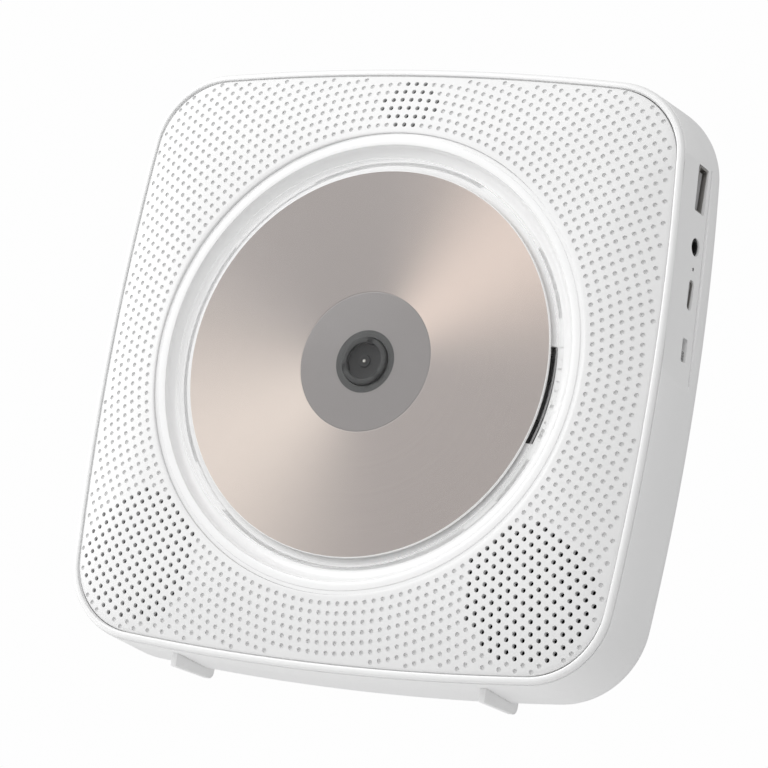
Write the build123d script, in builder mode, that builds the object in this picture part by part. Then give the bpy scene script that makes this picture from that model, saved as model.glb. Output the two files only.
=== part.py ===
"""A CD player that hangs on a wall: a domed front full of small round holes, a clear cap over the disc,
sockets on its right side, control buttons on top and two thin fins to stand on.

The wall is the plane Y = 0 and the spindle axis is the Y axis. The front faces -Y, +X is right, +Z is up.
"Height" means the distance out from the wall, so a height h lies at Y = -h. Millimetres.
"""

from build123d import *
import os
from math import atan, ceil, cos, degrees, hypot, radians, sin, sqrt

# ---- housing ------------------------------------------------------------------------------------------
PANEL_SPAN = 22.25      # from the well's opening out to the front edge of the side walls
FLARE = 1.85            # the side walls stand this much further out at the wall
SIDE_BOW = 792.0        # radius of the gently bowed sides
BODY_CORNER = 25.0      # corner radius at the front edge
WALL_TOP = 28.6         # height of the front edge of the side walls
WALL = 3.2              # thickness of the side walls
REAR_BEVEL = 3.4        # bevel of the rear edge
FLANGE_THICK = 2.0      # flange that the rear cover screws to
FLANGE_WIDTH = 12.0     # from the body's rear edge in to the flange's opening
FLANGE_CORNER = 42.0    # corner radius of that opening, large so that gussets stay in the corners
REBATE = 1.0            # depth of the step in which the front panel stands

# ---- front panel and rim ------------------------------------------------------------------------------
RIM_WIDTH = 2.0         # width of the rim round the panel
RIM_HEIGHT = 2.0
RIM_SLOPE = 1.2         # size of the rim's rounded-off outer edge
RIM_INSET = 0.25        # the rim stands this far inside the side walls
SEAM = 0.3              # gap between the panel and what surrounds it
PANEL_LIFT = 1.5        # the panel's border stands this far above the side walls
DOME_RISE = 5.2         # rise of the panel from border to plateau
DOME_REACH = 25.7       # distance from border to plateau
DOME_STEPS = 2          # lofted bands between border and plateau
PANEL_CORNER = 23.5
CORNER_EASE = 0.03      # growth of the corner radius with the square of the inset
PANEL_THICK = 1.6

# ---- perforation --------------------------------------------------------------------------------------
HOLE_PITCH = 2.85       # spacing of the rings of holes
HOLE_ACROSS = 1.4       # measured across the corners of a hole
HOLE_SIDES = 4
HOLES_PER_RING = 6      # the nth ring holds 6 n holes
HOLE_EDGE = 1.0         # the first ring's centres lie at least this far outside the well's opening
SPEAKER_FIELD = 20.3    # radius of the open holes over each speaker
WINDOW_RINGS = 6        # rings of open holes over the display

# ---- disc well and cap --------------------------------------------------------------------------------
DISC_MARGIN = 3.7       # from the disc's edge out to the foot of the concave wall
WELL_SEAM = 0.6         # gap between the well and the panel
BAND_WIDTH = 3.2        # width of the flat band
BAND_DROP = 0.7         # the band lies this far below the top of the panel
COVE = 4.0              # radius of the concave wall
COVE_STEPS = 3          # facets across it
FLOOR_THICK = 1.6
COLLAR = 1.8            # width of the panel's collar, on which the well's lugs seat
COLLAR_DROP = 2.6       # from the band down to the collar's rear face
LUG_LENGTH = 9.0
LUG_THICK = 1.6
LUG_COUNT = 4
CAP_GAP = 0.2           # between the cap and the foot of the concave wall
CAP_WALL = 1.4
CAP_TOP = 1.2
CAP_HEIGHT = 5.0
CAP_BEVEL = 0.8

# ---- disc and turntable -------------------------------------------------------------------------------
DISC_RADIUS = 60.0
DISC_THICK = 1.2
DISC_BORE = 7.5
DISC_CLEAR = 1.2        # space between the floor and the disc
HUB_GAP = 0.1           # radial play of the disc on the hub
HUB_RISE = 1.0          # hub above the disc
HUB_CHAMFER = 0.7
HUB_CUP = 5.7           # radius of the recess in the hub's face
HUB_CUP_DEPTH = 0.8
TABLE_RADIUS = 9.7
TABLE_THICK = 1.5
SLEEVE_RADIUS = 3.4
SHAFT_RADIUS = 1.0
SHAFT_DEPTH = 6.0
RUNNING_FIT = 0.05
PLAY = 0.3              # space between parts that pass each other

# ---- playing mechanism --------------------------------------------------------------------------------
TRACK_ANGLE = -6.0      # direction in which the pickup travels, degrees from +X
WINDOW_WIDTH = 29.6     # opening in the floor of the well
WINDOW_MARGIN = 1.6     # its outer end lies this far outside the disc's edge
WINDOW_HUB = 16.0       # radius of the opening round the turntable
BASE_DROP = 7.5         # from the underside of the well's floor down to the mechanism's base plate
BASE_THICK = 1.6
BASE_TAIL = 5.0         # the plate runs this far past the feed motor
BASE_NOSE = 5.5         # and this far past the outer post
BASE_MARGIN = 5.0       # from a rod's centre line to the plate's edge
BASE_CORNER = 5.0
EAR_RADIUS = 5.5
EAR_ALONG = 42.0        # place of the two side ears along the track
EAR_OVERHANG = 3.5      # their centres lie this far outside the plate
TAIL_DAMPER_INSET = 4.0
TAIL_DAMPER_ACROSS = -8.0
MOTOR_RADIUS = 12.0
MOTOR_DEPTH = 6.0
MOTOR_NECK = 5.0
MOTOR_NECK_RISE = 0.8
ROD_RADIUS = 1.5
ROD_SPREAD = 20.0       # distance of the rods from the track's centre line
ROD_RISE = 3.4          # of their centre lines above the base plate
POST_THICK = 3.0        # posts that hold the rods
SLED_TRAVEL = 34.0
SLED_STOP = 0.5         # space left between the sled and the outer post at the end of its travel
SLED_LENGTH = 18.0
SLED_THICK = 5.0
SLED_BEARING = 1.6      # wall round each rod
SLED_CORNER = 2.0
LENS_START = 24.0       # distance of the lens from the spindle at rest
LENS_RADIUS = 2.2
LENS_RISE = 1.8
ACTUATOR_LENGTH = 11.0
ACTUATOR_WIDTH = 12.0
ACTUATOR_RISE = 1.2
SCREW_GAP = 5.5         # from the lead screw's axis to the nearer rod's
SCREW_RADIUS = 1.3
FEED_MOTOR_RADIUS = 3.9
FEED_MOTOR_LENGTH = 12.0
FEED_MOTOR_GAP = 0.5
DAMPER_RADIUS = 3.6
DAMPER_HEIGHT = 4.0

# ---- rear cover ---------------------------------------------------------------------------------------
COVER_THICK = 2.4
COVER_GAP = 0.3
COVER_INSET = 9.1       # from the body's rear edge in to the cover's edge
COVER_CORNER = 19.0
FIXING_INSET = 12.0     # the corner screws lie this far inside the cover's edge, both ways
HEAD_RADIUS = 2.8
HEAD_THICK = 1.2
HEAD_SINK = 0.3
FIXING_RADIUS = 1.2
FIXING_LENGTH = 7.0
BOSS_RADIUS = 3.4
BOSS_TOP = 11.0
KEYHOLE_SPACING = 100.0
KEYHOLE_Z = 45.0        # of the round entries
KEYHOLE_ENTRY = 4.2
KEYHOLE_SLOT = 2.2
KEYHOLE_DROP = 8.0      # from the entry up to the end of the slot

# ---- sockets and boards -------------------------------------------------------------------------------
PORT_HEIGHT = 15.5      # height of the sockets' centre line
SOCKET_SINK = 0.4       # the sockets end this far inside the flat facet
SOCKET_GAP = 0.3
FACET_BELOW = 11.5      # the facet runs this far below the switch
FACET_ABOVE = 9.6       # and this far above the middle of the USB socket
FACET_REAR = 10.0       # height of its rear edge
FACET_OVERRUN = 6.0
BOARD_THICK = 1.6
BOARD_WIDTH = 58.0
BOARD_SET_BACK = 7.6    # from the body's rear edge in to the board's edge
BOARD_BELOW = 9.5       # the board runs this far below the switch
BOARD_ABOVE = 7.6       # and this far above the middle of the USB socket
STANDOFF = 4.0          # width of the square posts under the main board
STANDOFF_INSET = 12.0   # their distance from its edges
USB_DROP = 31.35        # from the top of the body down to the middle of the USB socket
USB_WIDTH = 13.4
USB_THICK = 6.0
USB_DEPTH = 14.0
USB_SHELL = 0.4
USB_TONGUE = 1.9
USB_TONGUE_GAP = 0.8
USB_MOUTH = 1.0         # the tongue ends this far inside the mouth
JACK_PITCH = 17.6       # from the USB socket down to the jack
JACK_NOSE = 2.4
JACK_BORE = 1.8
JACK_DEPTH = 14.0
JACK_WIDTH = 8.0
JACK_SET_BACK = 2.6
LIGHT_PITCH = 6.7       # from the jack down to the light
LIGHT_RADIUS = 0.5
LIGHT_FOOT = 2.6
CHARGE_PITCH = 7.9      # from the light down to the charging socket
CHARGE_WIDTH = 8.4
CHARGE_THICK = 2.6
CHARGE_DEPTH = 7.5
CHARGE_SHELL = 0.3
CHARGE_TONGUE = 0.7
SWITCH_PITCH = 16.7     # from the charging socket down to the switch
SWITCH_SLOT = 7.0
SWITCH_SLOT_THICK = 3.2
SWITCH_LENGTH = 13.0
SWITCH_DEPTH = 6.0
SWITCH_WALL_GAP = 0.4
SWITCH_CHANNEL = 2.4
KNOB_TRAVEL = 3.5
KNOB_SINK = 0.4
BATTERY_GAP = 9.2       # between the battery and the speakers at its two ends
BATTERY_WIDTH = 37.0
BATTERY_THICK = 18.0
BATTERY_RISE = 7.0      # its middle lies this far above the speakers'
BATTERY_ROUND = 3.0

# ---- buttons, display, feet, speakers -----------------------------------------------------------------
BUTTONS = ["button_volume_down", "button_previous", "button_play", "button_next", "button_volume_up"]
BUTTON_PITCH = 14.0
BUTTON_WIDTH = 9.0
BUTTON_THICK = 4.4
BUTTON_HEIGHT = 15.0    # distance of the row from the wall
BUTTON_RISE = 1.0
BUTTON_LIP = 0.9
BUTTON_FLANGE = 1.0
BUTTON_TRAVEL = 0.8
KEY_BOARD_WIDTH = 9.0
KEY_BOARD_THICK = 1.2
KEY_BOARD_DROP = 10.0   # from the top of the body down to the board
KEY_BOARD_END = 5.0
KEY_SWITCH = 6.0
DISPLAY_WIDTH = 26.0
DISPLAY_GAP = 1.8       # between the display board and the housing's top wall
DISPLAY_SINK = 2.1      # its face lies this far below the panel's border
DISPLAY_THICK = 1.6
DISPLAY_POST = 2.0
DISPLAY_POST_DEPTH = 4.0
FOOT_X = 52.0
FOOT_THICK = 2.0
FOOT_DROP = 0.8         # the fins end this far below the body's rear edge
FOOT_SEAT = 6.6         # and reach this far up into it
FOOT_SET_BACK = 4.6     # from the front edge of the side walls back to the fins' front ends
FOOT_REAR = 0.4
FOOT_ROUND = 2.5
FOOT_GAP = 0.05
FOOT_SOCKET_WALL = 2.0
SPEAKER_FROM_SIDE = 28.25
SPEAKER_FROM_FOOT = 28.75
SPEAKER_RIM = 21.3
SPEAKER_RIM_WIDTH = 0.9
SPEAKER_RIM_THICK = 1.2
SPEAKER_DROP = 0.1      # its front lies this far below the inner edge of the panel's dome
SPEAKER_DEPTH = 15.0
MAGNET_RADIUS = 11.0
MAGNET_THICK = 6.0
CONE_NECK = 7.0
CONE_DEPTH = 5.0
PAD_WIDTH = 3.0
PAD_DEPTH = 2.0
PAD_COUNT = 4

# ---- sizes that follow --------------------------------------------------------------------------------
FLOOR_RADIUS = DISC_RADIUS + DISC_MARGIN
WELL_WALL = FLOOR_RADIUS + COVE
WELL_RIM = WELL_WALL + BAND_WIDTH
OPENING = WELL_RIM + WELL_SEAM
FRONT_HALF = OPENING + PANEL_SPAN
REAR_HALF = FRONT_HALF + FLARE
FLARE_ANGLE = degrees(atan(FLARE / WALL_TOP))
RIM_OUTER = FRONT_HALF - RIM_INSET
RIM_INNER = RIM_OUTER - RIM_WIDTH
PANEL_HALF = RIM_INNER - SEAM
PANEL_FOOT = WALL_TOP - REBATE
PANEL_EDGE = WALL_TOP + PANEL_LIFT
PANEL_TOP = PANEL_EDGE + DOME_RISE
BAND_HEIGHT = PANEL_TOP - BAND_DROP
COLLAR_HEIGHT = BAND_HEIGHT - COLLAR_DROP
FLOOR = BAND_HEIGHT - COVE
FLOOR_UNDER = FLOOR - FLOOR_THICK
WINDOW_REACH = DISC_RADIUS + WINDOW_MARGIN
BASE_TOP = FLOOR_UNDER - BASE_DROP
ROD_HEIGHT = BASE_TOP + ROD_RISE
CAP_RADIUS = FLOOR_RADIUS - CAP_GAP
DISC_SEAT = FLOOR + DISC_CLEAR
DISC_TOP = DISC_SEAT + DISC_THICK
HUB_RADIUS = DISC_BORE - HUB_GAP
HUB_TOP = DISC_TOP + HUB_RISE
TABLE_UNDER = DISC_SEAT - TABLE_THICK
POST_INNER = -(MOTOR_NECK + POST_THICK)
POST_OUTER = LENS_START + SLED_TRAVEL + SLED_LENGTH / 2 + SLED_STOP
BASE_FROM = POST_INNER - FEED_MOTOR_LENGTH - BASE_TAIL
BASE_TO = POST_OUTER + BASE_NOSE
BASE_WIDTH = 2 * (ROD_SPREAD + BASE_MARGIN)
SCREW_OFFSET = ROD_SPREAD - SCREW_GAP
EAR_ACROSS = BASE_WIDTH / 2 + EAR_OVERHANG
TAIL_DAMPER = (BASE_FROM + TAIL_DAMPER_INSET, TAIL_DAMPER_ACROSS)
DAMPERS = [TAIL_DAMPER, (EAR_ALONG, EAR_ACROSS), (EAR_ALONG, -EAR_ACROSS)]
BASE_UNDER = BASE_TOP - BASE_THICK
NECK_TOP = BASE_TOP + MOTOR_NECK_RISE
SLED_TOP = ROD_HEIGHT + SLED_THICK / 2
SLED_WIDTH = 2 * (ROD_SPREAD + ROD_RADIUS + SLED_BEARING)
ACTUATOR_TOP = SLED_TOP + ACTUATOR_RISE
SPEAKER_FRONT = PANEL_EDGE - PANEL_THICK - SPEAKER_DROP
FLANGE_TOP = COVER_THICK + FLANGE_THICK
FLANGE_HALF = REAR_HALF - FLANGE_WIDTH
COVER_HALF = REAR_HALF - COVER_INSET
FIXING_PLACE = COVER_HALF - FIXING_INSET
USB_Z = FRONT_HALF - USB_DROP
JACK_Z = USB_Z - JACK_PITCH
LIGHT_Z = JACK_Z - LIGHT_PITCH
CHARGE_Z = LIGHT_Z - CHARGE_PITCH
SWITCH_Z = CHARGE_Z - SWITCH_PITCH
FACET_FROM = SWITCH_Z - FACET_BELOW
FACET_TO = USB_Z + FACET_ABOVE
BOARD_RIGHT = REAR_HALF - BOARD_SET_BACK
BOARD_LEFT = BOARD_RIGHT - BOARD_WIDTH
BOARD_LOW = SWITCH_Z - BOARD_BELOW
BOARD_HIGH = USB_Z + BOARD_ABOVE
BOARD_TOP = PORT_HEIGHT - USB_THICK / 2
BOARD_UNDER = BOARD_TOP - BOARD_THICK
FIRST_RING = ceil((OPENING + HOLE_EDGE) / HOLE_PITCH)
DISPLAY_Z = HOLE_PITCH * (FIRST_RING + (WINDOW_RINGS - 1) / 2)
DISPLAY_DEPTH = 2 * (FRONT_HALF - WALL - DISPLAY_GAP - DISPLAY_Z)
DISPLAY_TOP = PANEL_EDGE - DISPLAY_SINK
KNOB_LENGTH = SWITCH_SLOT - KNOB_TRAVEL - SOCKET_GAP
FOOT_FRONT = WALL_TOP - FOOT_SET_BACK
FOOT_BOTTOM = -(REAR_HALF + FOOT_DROP)
FOOT_TOP = FOOT_SEAT - REAR_HALF
SPEAKER_X = FRONT_HALF - SPEAKER_FROM_SIDE
SPEAKER_Z = SPEAKER_FROM_FOOT - FRONT_HALF
BATTERY_LENGTH = 2 * (SPEAKER_X - SPEAKER_RIM - BATTERY_GAP)
BATTERY_Z = SPEAKER_Z + BATTERY_RISE
BUTTON_SPAN = BUTTON_PITCH * (len(BUTTONS) - 1)
TRACK = Vector(cos(radians(TRACK_ANGLE)), 0, sin(radians(TRACK_ANGLE)))
ACROSS = Vector(-sin(radians(TRACK_ANGLE)), 0, cos(radians(TRACK_ANGLE)))
CORNERS = [(x, z) for x in (-1, 1) for z in (-1, 1)]
FRONTWARDS = (0, -1, 0)


def level(height):
    """Plane parallel to the wall at this height, facing the front."""
    return Plane.XZ.offset(height)


def track_level(along, across, height):
    """Plane like level(), with its X along the pickup's track and its origin beside it."""
    origin = TRACK * along + ACROSS * across + Vector(0, -height, 0)
    return Plane(origin=origin, x_dir=TRACK, z_dir=FRONTWARDS)


def track_section(along, across, height):
    """Plane square to the track, facing outwards along it."""
    origin = TRACK * along + ACROSS * across + Vector(0, -height, 0)
    return Plane(origin=origin, x_dir=ACROSS, z_dir=TRACK)


def port_plane(x, height=PORT_HEIGHT):
    """Plane square to X: its own X is height turned to the wall and its Y is Z."""
    return Plane(origin=(x, -height, 0), x_dir=(0, 1, 0), z_dir=(1, 0, 0))


def body_half(height):
    """Half width of the flared body at this height."""
    return REAR_HALF + (FRONT_HALF - REAR_HALF) * height / WALL_TOP


def side_x(height, z):
    """X of the bowed right side at this height and Z."""
    return body_half(height) - SIDE_BOW + sqrt(SIDE_BOW**2 - z**2)


def facet_x(height, z):
    """X of the flat facet that holds the sockets: a chord of the bowed side."""
    near = side_x(height, FACET_FROM)
    far = side_x(height, FACET_TO)
    return near + (far - near) * (z - FACET_FROM) / (FACET_TO - FACET_FROM)


def panel_height(z):
    """Height of the panel's outer face on its centre line at this Z."""
    inset = min(PANEL_HALF - abs(z), DOME_REACH)
    return PANEL_TOP - DOME_RISE * (1 - inset / DOME_REACH) ** 2


def outline(half, corner, height):
    """A square with bowed sides and round corners, on the plane at this height."""
    back = half - SIDE_BOW
    reach = SIDE_BOW - corner
    middle = (back + sqrt(2 * reach**2 - back**2)) / 2
    touch = (back + SIDE_BOW * (middle - back) / reach, SIDE_BOW * middle / reach)
    tip = middle + corner * sqrt(0.5)
    stations = [(touch[0], -touch[1]), (half, 0), touch, (tip, tip), (touch[1], touch[0])]
    with BuildSketch(level(height)) as sketch:
        with BuildLine():
            for quarter in range(4):
                points = [Vector(*point).rotate(Axis.Z, 90 * quarter) for point in stations]
                ThreePointArc(*points[:3])
                ThreePointArc(*points[2:])
        make_face()
    return sketch.sketch


def body_outline(height, inset=0.0):
    """The flared body's outline at this height, moved inwards."""
    half = body_half(height) - inset
    return outline(half, BODY_CORNER + half - FRONT_HALF, height)


def panel_outlines(inset, drop, steps=DOME_STEPS):
    """Sections of the domed panel, moved in and down from its outer face."""
    sections = []
    for step in range(steps + 1):
        distance = DOME_REACH * step / steps
        fall = DOME_RISE * (1 - step / steps) ** 2
        corner = PANEL_CORNER - inset + CORNER_EASE * distance**2
        sections.append(outline(PANEL_HALF - distance - inset, corner, PANEL_TOP - fall - drop))
    return sections


def open_holes():
    """Centres of the holes that go through the panel, on rings round the spindle axis."""
    places = []
    for ring in range(FIRST_RING, ceil(FRONT_HALF * sqrt(2) / HOLE_PITCH)):
        step = ring - FIRST_RING
        display_reach = min(step, WINDOW_RINGS - 1 - step) + 1
        for count in range(HOLES_PER_RING * ring):
            angle = radians(90 + 360 * count / (HOLES_PER_RING * ring))
            x, z = HOLE_PITCH * ring * cos(angle), HOLE_PITCH * ring * sin(angle)
            from_top = min(count, HOLES_PER_RING * ring - count)
            over_speaker = hypot(abs(x) - SPEAKER_X, z - SPEAKER_Z) < SPEAKER_FIELD
            if over_speaker or from_top <= display_reach and step < WINDOW_RINGS:
                places.append((x, z))
    return places


def facet_cut(height):
    """Region outside the facet's chord at this height."""
    low = FACET_FROM - FACET_OVERRUN
    high = FACET_TO + FACET_OVERRUN
    outside = REAR_HALF + FACET_OVERRUN
    with BuildSketch(level(height)) as sketch:
        with BuildLine():
            chord = [(facet_x(height, low), low), (facet_x(height, high), high)]
            Polyline(*chord, (outside, high), (outside, low), close=True)
        make_face()
    return sketch.sketch


def save(builder, label):
    builder.part.label = label
    export_step(builder.part, f"parts/{label}.step")


os.makedirs("parts", exist_ok=True)

# ---- housing ------------------------------------------------------------------------------------------
with BuildPart() as main_housing:
    extrude(body_outline(0), WALL_TOP, taper=FLARE_ANGLE)
    chamfer(main_housing.edges().group_by(Axis.Y)[-1], REAR_BEVEL)
    loft([facet_cut(FACET_REAR), facet_cut(WALL_TOP)], mode=Mode.SUBTRACT)
    extrude(body_outline(FLANGE_TOP, WALL), PANEL_FOOT - FLANGE_TOP, taper=FLARE_ANGLE, mode=Mode.SUBTRACT)
    extrude(outline(PANEL_HALF + SEAM, PANEL_CORNER + SEAM, PANEL_FOOT), REBATE, mode=Mode.SUBTRACT)
    with BuildSketch(level(0)):
        RectangleRounded(2 * FLANGE_HALF, 2 * FLANGE_HALF, FLANGE_CORNER)
    extrude(amount=FLANGE_TOP, mode=Mode.SUBTRACT)
    with BuildSketch(level(0)):
        RectangleRounded(2 * (COVER_HALF + COVER_GAP), 2 * (COVER_HALF + COVER_GAP), COVER_CORNER + COVER_GAP)
    extrude(amount=COVER_THICK, mode=Mode.SUBTRACT)
    with BuildSketch(level(COVER_THICK)):
        with Locations([(x * FIXING_PLACE, z * FIXING_PLACE) for x, z in CORNERS]):
            Circle(BOSS_RADIUS)
    extrude(amount=BOSS_TOP - COVER_THICK)
    with BuildSketch(level(COVER_THICK)):
        with Locations([(x * FIXING_PLACE, z * FIXING_PLACE) for x, z in CORNERS]):
            Circle(FIXING_RADIUS + RUNNING_FIT)
    extrude(amount=FIXING_LENGTH, mode=Mode.SUBTRACT)
    # openings for the sockets and the slide switch, cut through the facet
    with BuildSketch(port_plane(BOARD_RIGHT - WALL)):
        with Locations((0, USB_Z)):
            Rectangle(USB_THICK + 2 * SOCKET_GAP, USB_WIDTH + 2 * SOCKET_GAP)
        with Locations((0, JACK_Z)):
            Circle(JACK_NOSE + SOCKET_GAP)
        with Locations((0, LIGHT_Z)):
            Circle(LIGHT_RADIUS + RUNNING_FIT)
        with Locations((0, CHARGE_Z)):
            SlotOverall(CHARGE_WIDTH + 2 * SOCKET_GAP, CHARGE_THICK + 2 * SOCKET_GAP, rotation=90)
        with Locations((0, SWITCH_Z)):
            Rectangle(SWITCH_SLOT_THICK, SWITCH_SLOT)
    extrude(amount=REAR_HALF - BOARD_RIGHT + 2 * WALL, mode=Mode.SUBTRACT)
    # blocks that carry the button board, then the slots for the buttons
    board_front = body_half(BUTTON_HEIGHT) - KEY_BOARD_DROP
    with BuildSketch(Plane.XY.offset(board_front)):
        with Locations((0, -BUTTON_HEIGHT)):
            with GridLocations(BUTTON_SPAN + 2 * BUTTON_WIDTH + KEY_BOARD_END, 0, 2, 1):
                Rectangle(KEY_BOARD_END, KEY_BOARD_WIDTH)
    extrude(amount=KEY_BOARD_DROP - WALL / 2)
    with BuildSketch(Plane.XY.offset(board_front)):
        with Locations((0, -BUTTON_HEIGHT)):
            with GridLocations(BUTTON_PITCH, 0, len(BUTTONS), 1):
                Rectangle(BUTTON_WIDTH + 2 * SEAM, BUTTON_THICK + 2 * SEAM)
    extrude(amount=2 * KEY_BOARD_DROP, mode=Mode.SUBTRACT)
    # sockets that hold the two stand fins
    with BuildSketch(Plane.XY.offset(FOOT_TOP + FOOT_SOCKET_WALL)):
        with Locations((0, -(FLANGE_TOP + FOOT_FRONT + FOOT_SOCKET_WALL) / 2)):
            with GridLocations(2 * FOOT_X, 0, 2, 1):
                Rectangle(FOOT_THICK + 2 * FOOT_SOCKET_WALL, FOOT_FRONT + FOOT_SOCKET_WALL - FLANGE_TOP)
    extrude(amount=-(FOOT_SOCKET_WALL + WALL))
    with BuildSketch(Plane.XY.offset(FOOT_TOP)):
        with Locations((0, -(FOOT_FRONT + FOOT_GAP) / 2)):
            with GridLocations(2 * FOOT_X, 0, 2, 1):
                Rectangle(FOOT_THICK + 2 * FOOT_GAP, FOOT_FRONT + FOOT_GAP)
    extrude(amount=-2 * (FOOT_TOP - FOOT_BOTTOM), mode=Mode.SUBTRACT)
save(main_housing, "main_housing")

with BuildPart() as front_bezel:
    extrude(outline(RIM_OUTER, BODY_CORNER - RIM_INSET, WALL_TOP), RIM_HEIGHT)
    chamfer(front_bezel.edges().group_by(Axis.Y)[0], RIM_SLOPE)
    extrude(outline(RIM_INNER, PANEL_CORNER + SEAM, WALL_TOP), RIM_HEIGHT, mode=Mode.SUBTRACT)
save(front_bezel, "front_bezel")

# ---- front panel --------------------------------------------------------------------------------------
SPEAKERS = [(side * SPEAKER_X, SPEAKER_Z) for side in (-1, 1)]
with BuildPart() as panel_core:
    loft(panel_outlines(PANEL_THICK / 2, PANEL_THICK / 2, 1), ruled=True)
    extrude(outline(PANEL_HALF - PANEL_THICK / 2, PANEL_CORNER, PANEL_FOOT), PANEL_EDGE - PANEL_FOOT)

with BuildPart() as panel_fixings:
    # collar for the well, pads for the speakers and posts for the display, trimmed to end in the skin
    with BuildSketch(level(COLLAR_HEIGHT)):
        Circle(OPENING + COLLAR)
        Circle(OPENING, mode=Mode.SUBTRACT)
    extrude(amount=PANEL_TOP - COLLAR_HEIGHT)
    with BuildSketch(level(SPEAKER_FRONT)):
        for speaker in SPEAKERS:
            with Locations(speaker):
                with PolarLocations(SPEAKER_RIM - SPEAKER_RIM_WIDTH + PAD_DEPTH / 2, PAD_COUNT):
                    Rectangle(PAD_DEPTH, PAD_WIDTH)
    extrude(amount=PANEL_TOP - SPEAKER_FRONT)
    with BuildSketch(level(DISPLAY_TOP)):
        with Locations((0, DISPLAY_Z)):
            with GridLocations(DISPLAY_WIDTH - DISPLAY_POST, 0, 2, 1):
                Rectangle(DISPLAY_POST, DISPLAY_POST_DEPTH)
    extrude(amount=PANEL_TOP - DISPLAY_TOP)
    add(panel_core.part, mode=Mode.INTERSECT)

with BuildPart() as front_panel:
    loft(panel_outlines(0, 0), ruled=True)
    extrude(outline(PANEL_HALF, PANEL_CORNER, PANEL_FOOT), PANEL_EDGE - PANEL_FOOT)
    loft(panel_outlines(PANEL_THICK, PANEL_THICK, 1), ruled=True, mode=Mode.SUBTRACT)
    inner_foot = outline(PANEL_HALF - PANEL_THICK, PANEL_CORNER - PANEL_THICK, PANEL_FOOT)
    extrude(inner_foot, PANEL_EDGE - PANEL_THICK - PANEL_FOOT, mode=Mode.SUBTRACT)
    add(panel_fixings.part)
    with BuildSketch(level(COLLAR_HEIGHT)):
        Circle(OPENING)
    extrude(amount=PANEL_TOP, mode=Mode.SUBTRACT)
    with BuildSketch(level(0)):
        with Locations(open_holes()):
            RegularPolygon(HOLE_ACROSS / 2, HOLE_SIDES)
    extrude(amount=PANEL_TOP, mode=Mode.SUBTRACT)
save(front_panel, "front_panel")

# ---- disc well and cap --------------------------------------------------------------------------------
turns = [radians(90 * step / COVE_STEPS) for step in range(COVE_STEPS + 1)]
cove = [(FLOOR_RADIUS + COVE * cos(turn), COVE * sin(turn) - BAND_HEIGHT) for turn in turns]
with BuildPart() as disc_well:
    with BuildSketch(Plane.XY):
        with BuildLine():
            Polyline((0, -FLOOR), (0, -FLOOR_UNDER), (WELL_RIM, -FLOOR_UNDER), (WELL_RIM, -BAND_HEIGHT),
                     (WELL_WALL, -BAND_HEIGHT))
            Polyline(*cove, (0, -FLOOR))
        make_face()
    revolve(axis=Axis.Y)
    with BuildSketch(track_level(0, 0, FLOOR_UNDER)):
        Rectangle(WINDOW_REACH, WINDOW_WIDTH, align=(Align.MIN, Align.CENTER))
        Circle(WINDOW_REACH, mode=Mode.INTERSECT)
        Circle(WINDOW_HUB)
    extrude(amount=FLOOR_THICK, mode=Mode.SUBTRACT)
    with BuildSketch(level(COLLAR_HEIGHT - LUG_THICK)):
        with PolarLocations(OPENING + COLLAR, LUG_COUNT, start_angle=180 / LUG_COUNT):
            Rectangle(COLLAR + 2 * WELL_SEAM, LUG_LENGTH, align=(Align.MAX, Align.CENTER))
    extrude(amount=LUG_THICK)
    for along, across in DAMPERS:
        with BuildSketch(track_level(along, across, BASE_TOP + DAMPER_HEIGHT)):
            Circle(DAMPER_RADIUS)
        extrude(amount=FLOOR_UNDER - BASE_TOP - DAMPER_HEIGHT)
save(disc_well, "disc_well")

with BuildPart() as dust_cover:
    with BuildSketch(level(FLOOR)):
        Circle(CAP_RADIUS)
    extrude(amount=CAP_HEIGHT)
    chamfer(dust_cover.edges().group_by(Axis.Y)[0], CAP_BEVEL)
    with BuildSketch(level(FLOOR)):
        Circle(CAP_RADIUS - CAP_WALL)
    extrude(amount=CAP_HEIGHT - CAP_TOP, mode=Mode.SUBTRACT)
save(dust_cover, "dust_cover")

# ---- disc and turntable -------------------------------------------------------------------------------
with BuildPart() as disc:
    with BuildSketch(level(DISC_SEAT)):
        Circle(DISC_RADIUS)
        Circle(DISC_BORE, mode=Mode.SUBTRACT)
    extrude(amount=DISC_THICK)
save(disc, "disc")

with BuildPart() as turntable:
    with BuildSketch(level(TABLE_UNDER)):
        Circle(TABLE_RADIUS)
    extrude(amount=TABLE_THICK)
    with BuildSketch(level(DISC_SEAT)):
        Circle(HUB_RADIUS)
    extrude(amount=HUB_TOP - DISC_SEAT)
    chamfer(turntable.edges().group_by(Axis.Y)[0], HUB_CHAMFER)
    with BuildSketch(level(HUB_TOP)):
        Circle(HUB_CUP)
    extrude(amount=-HUB_CUP_DEPTH, mode=Mode.SUBTRACT)
    with BuildSketch(level(NECK_TOP + PLAY)):
        Circle(SLEEVE_RADIUS)
    extrude(amount=TABLE_UNDER - NECK_TOP - PLAY)
    with BuildSketch(level(NECK_TOP - SHAFT_DEPTH)):
        Circle(SHAFT_RADIUS)
    extrude(amount=SHAFT_DEPTH + PLAY)
save(turntable, "turntable")

with BuildPart() as spindle_motor:
    with BuildSketch(level(BASE_UNDER - MOTOR_DEPTH)):
        Circle(MOTOR_RADIUS)
    extrude(amount=MOTOR_DEPTH)
    with BuildSketch(level(BASE_UNDER)):
        Circle(MOTOR_NECK)
    extrude(amount=NECK_TOP - BASE_UNDER)
    with BuildSketch(level(NECK_TOP)):
        Circle(SHAFT_RADIUS + RUNNING_FIT)
    extrude(amount=-(SHAFT_DEPTH + PLAY), mode=Mode.SUBTRACT)
save(spindle_motor, "spindle_motor")

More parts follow.
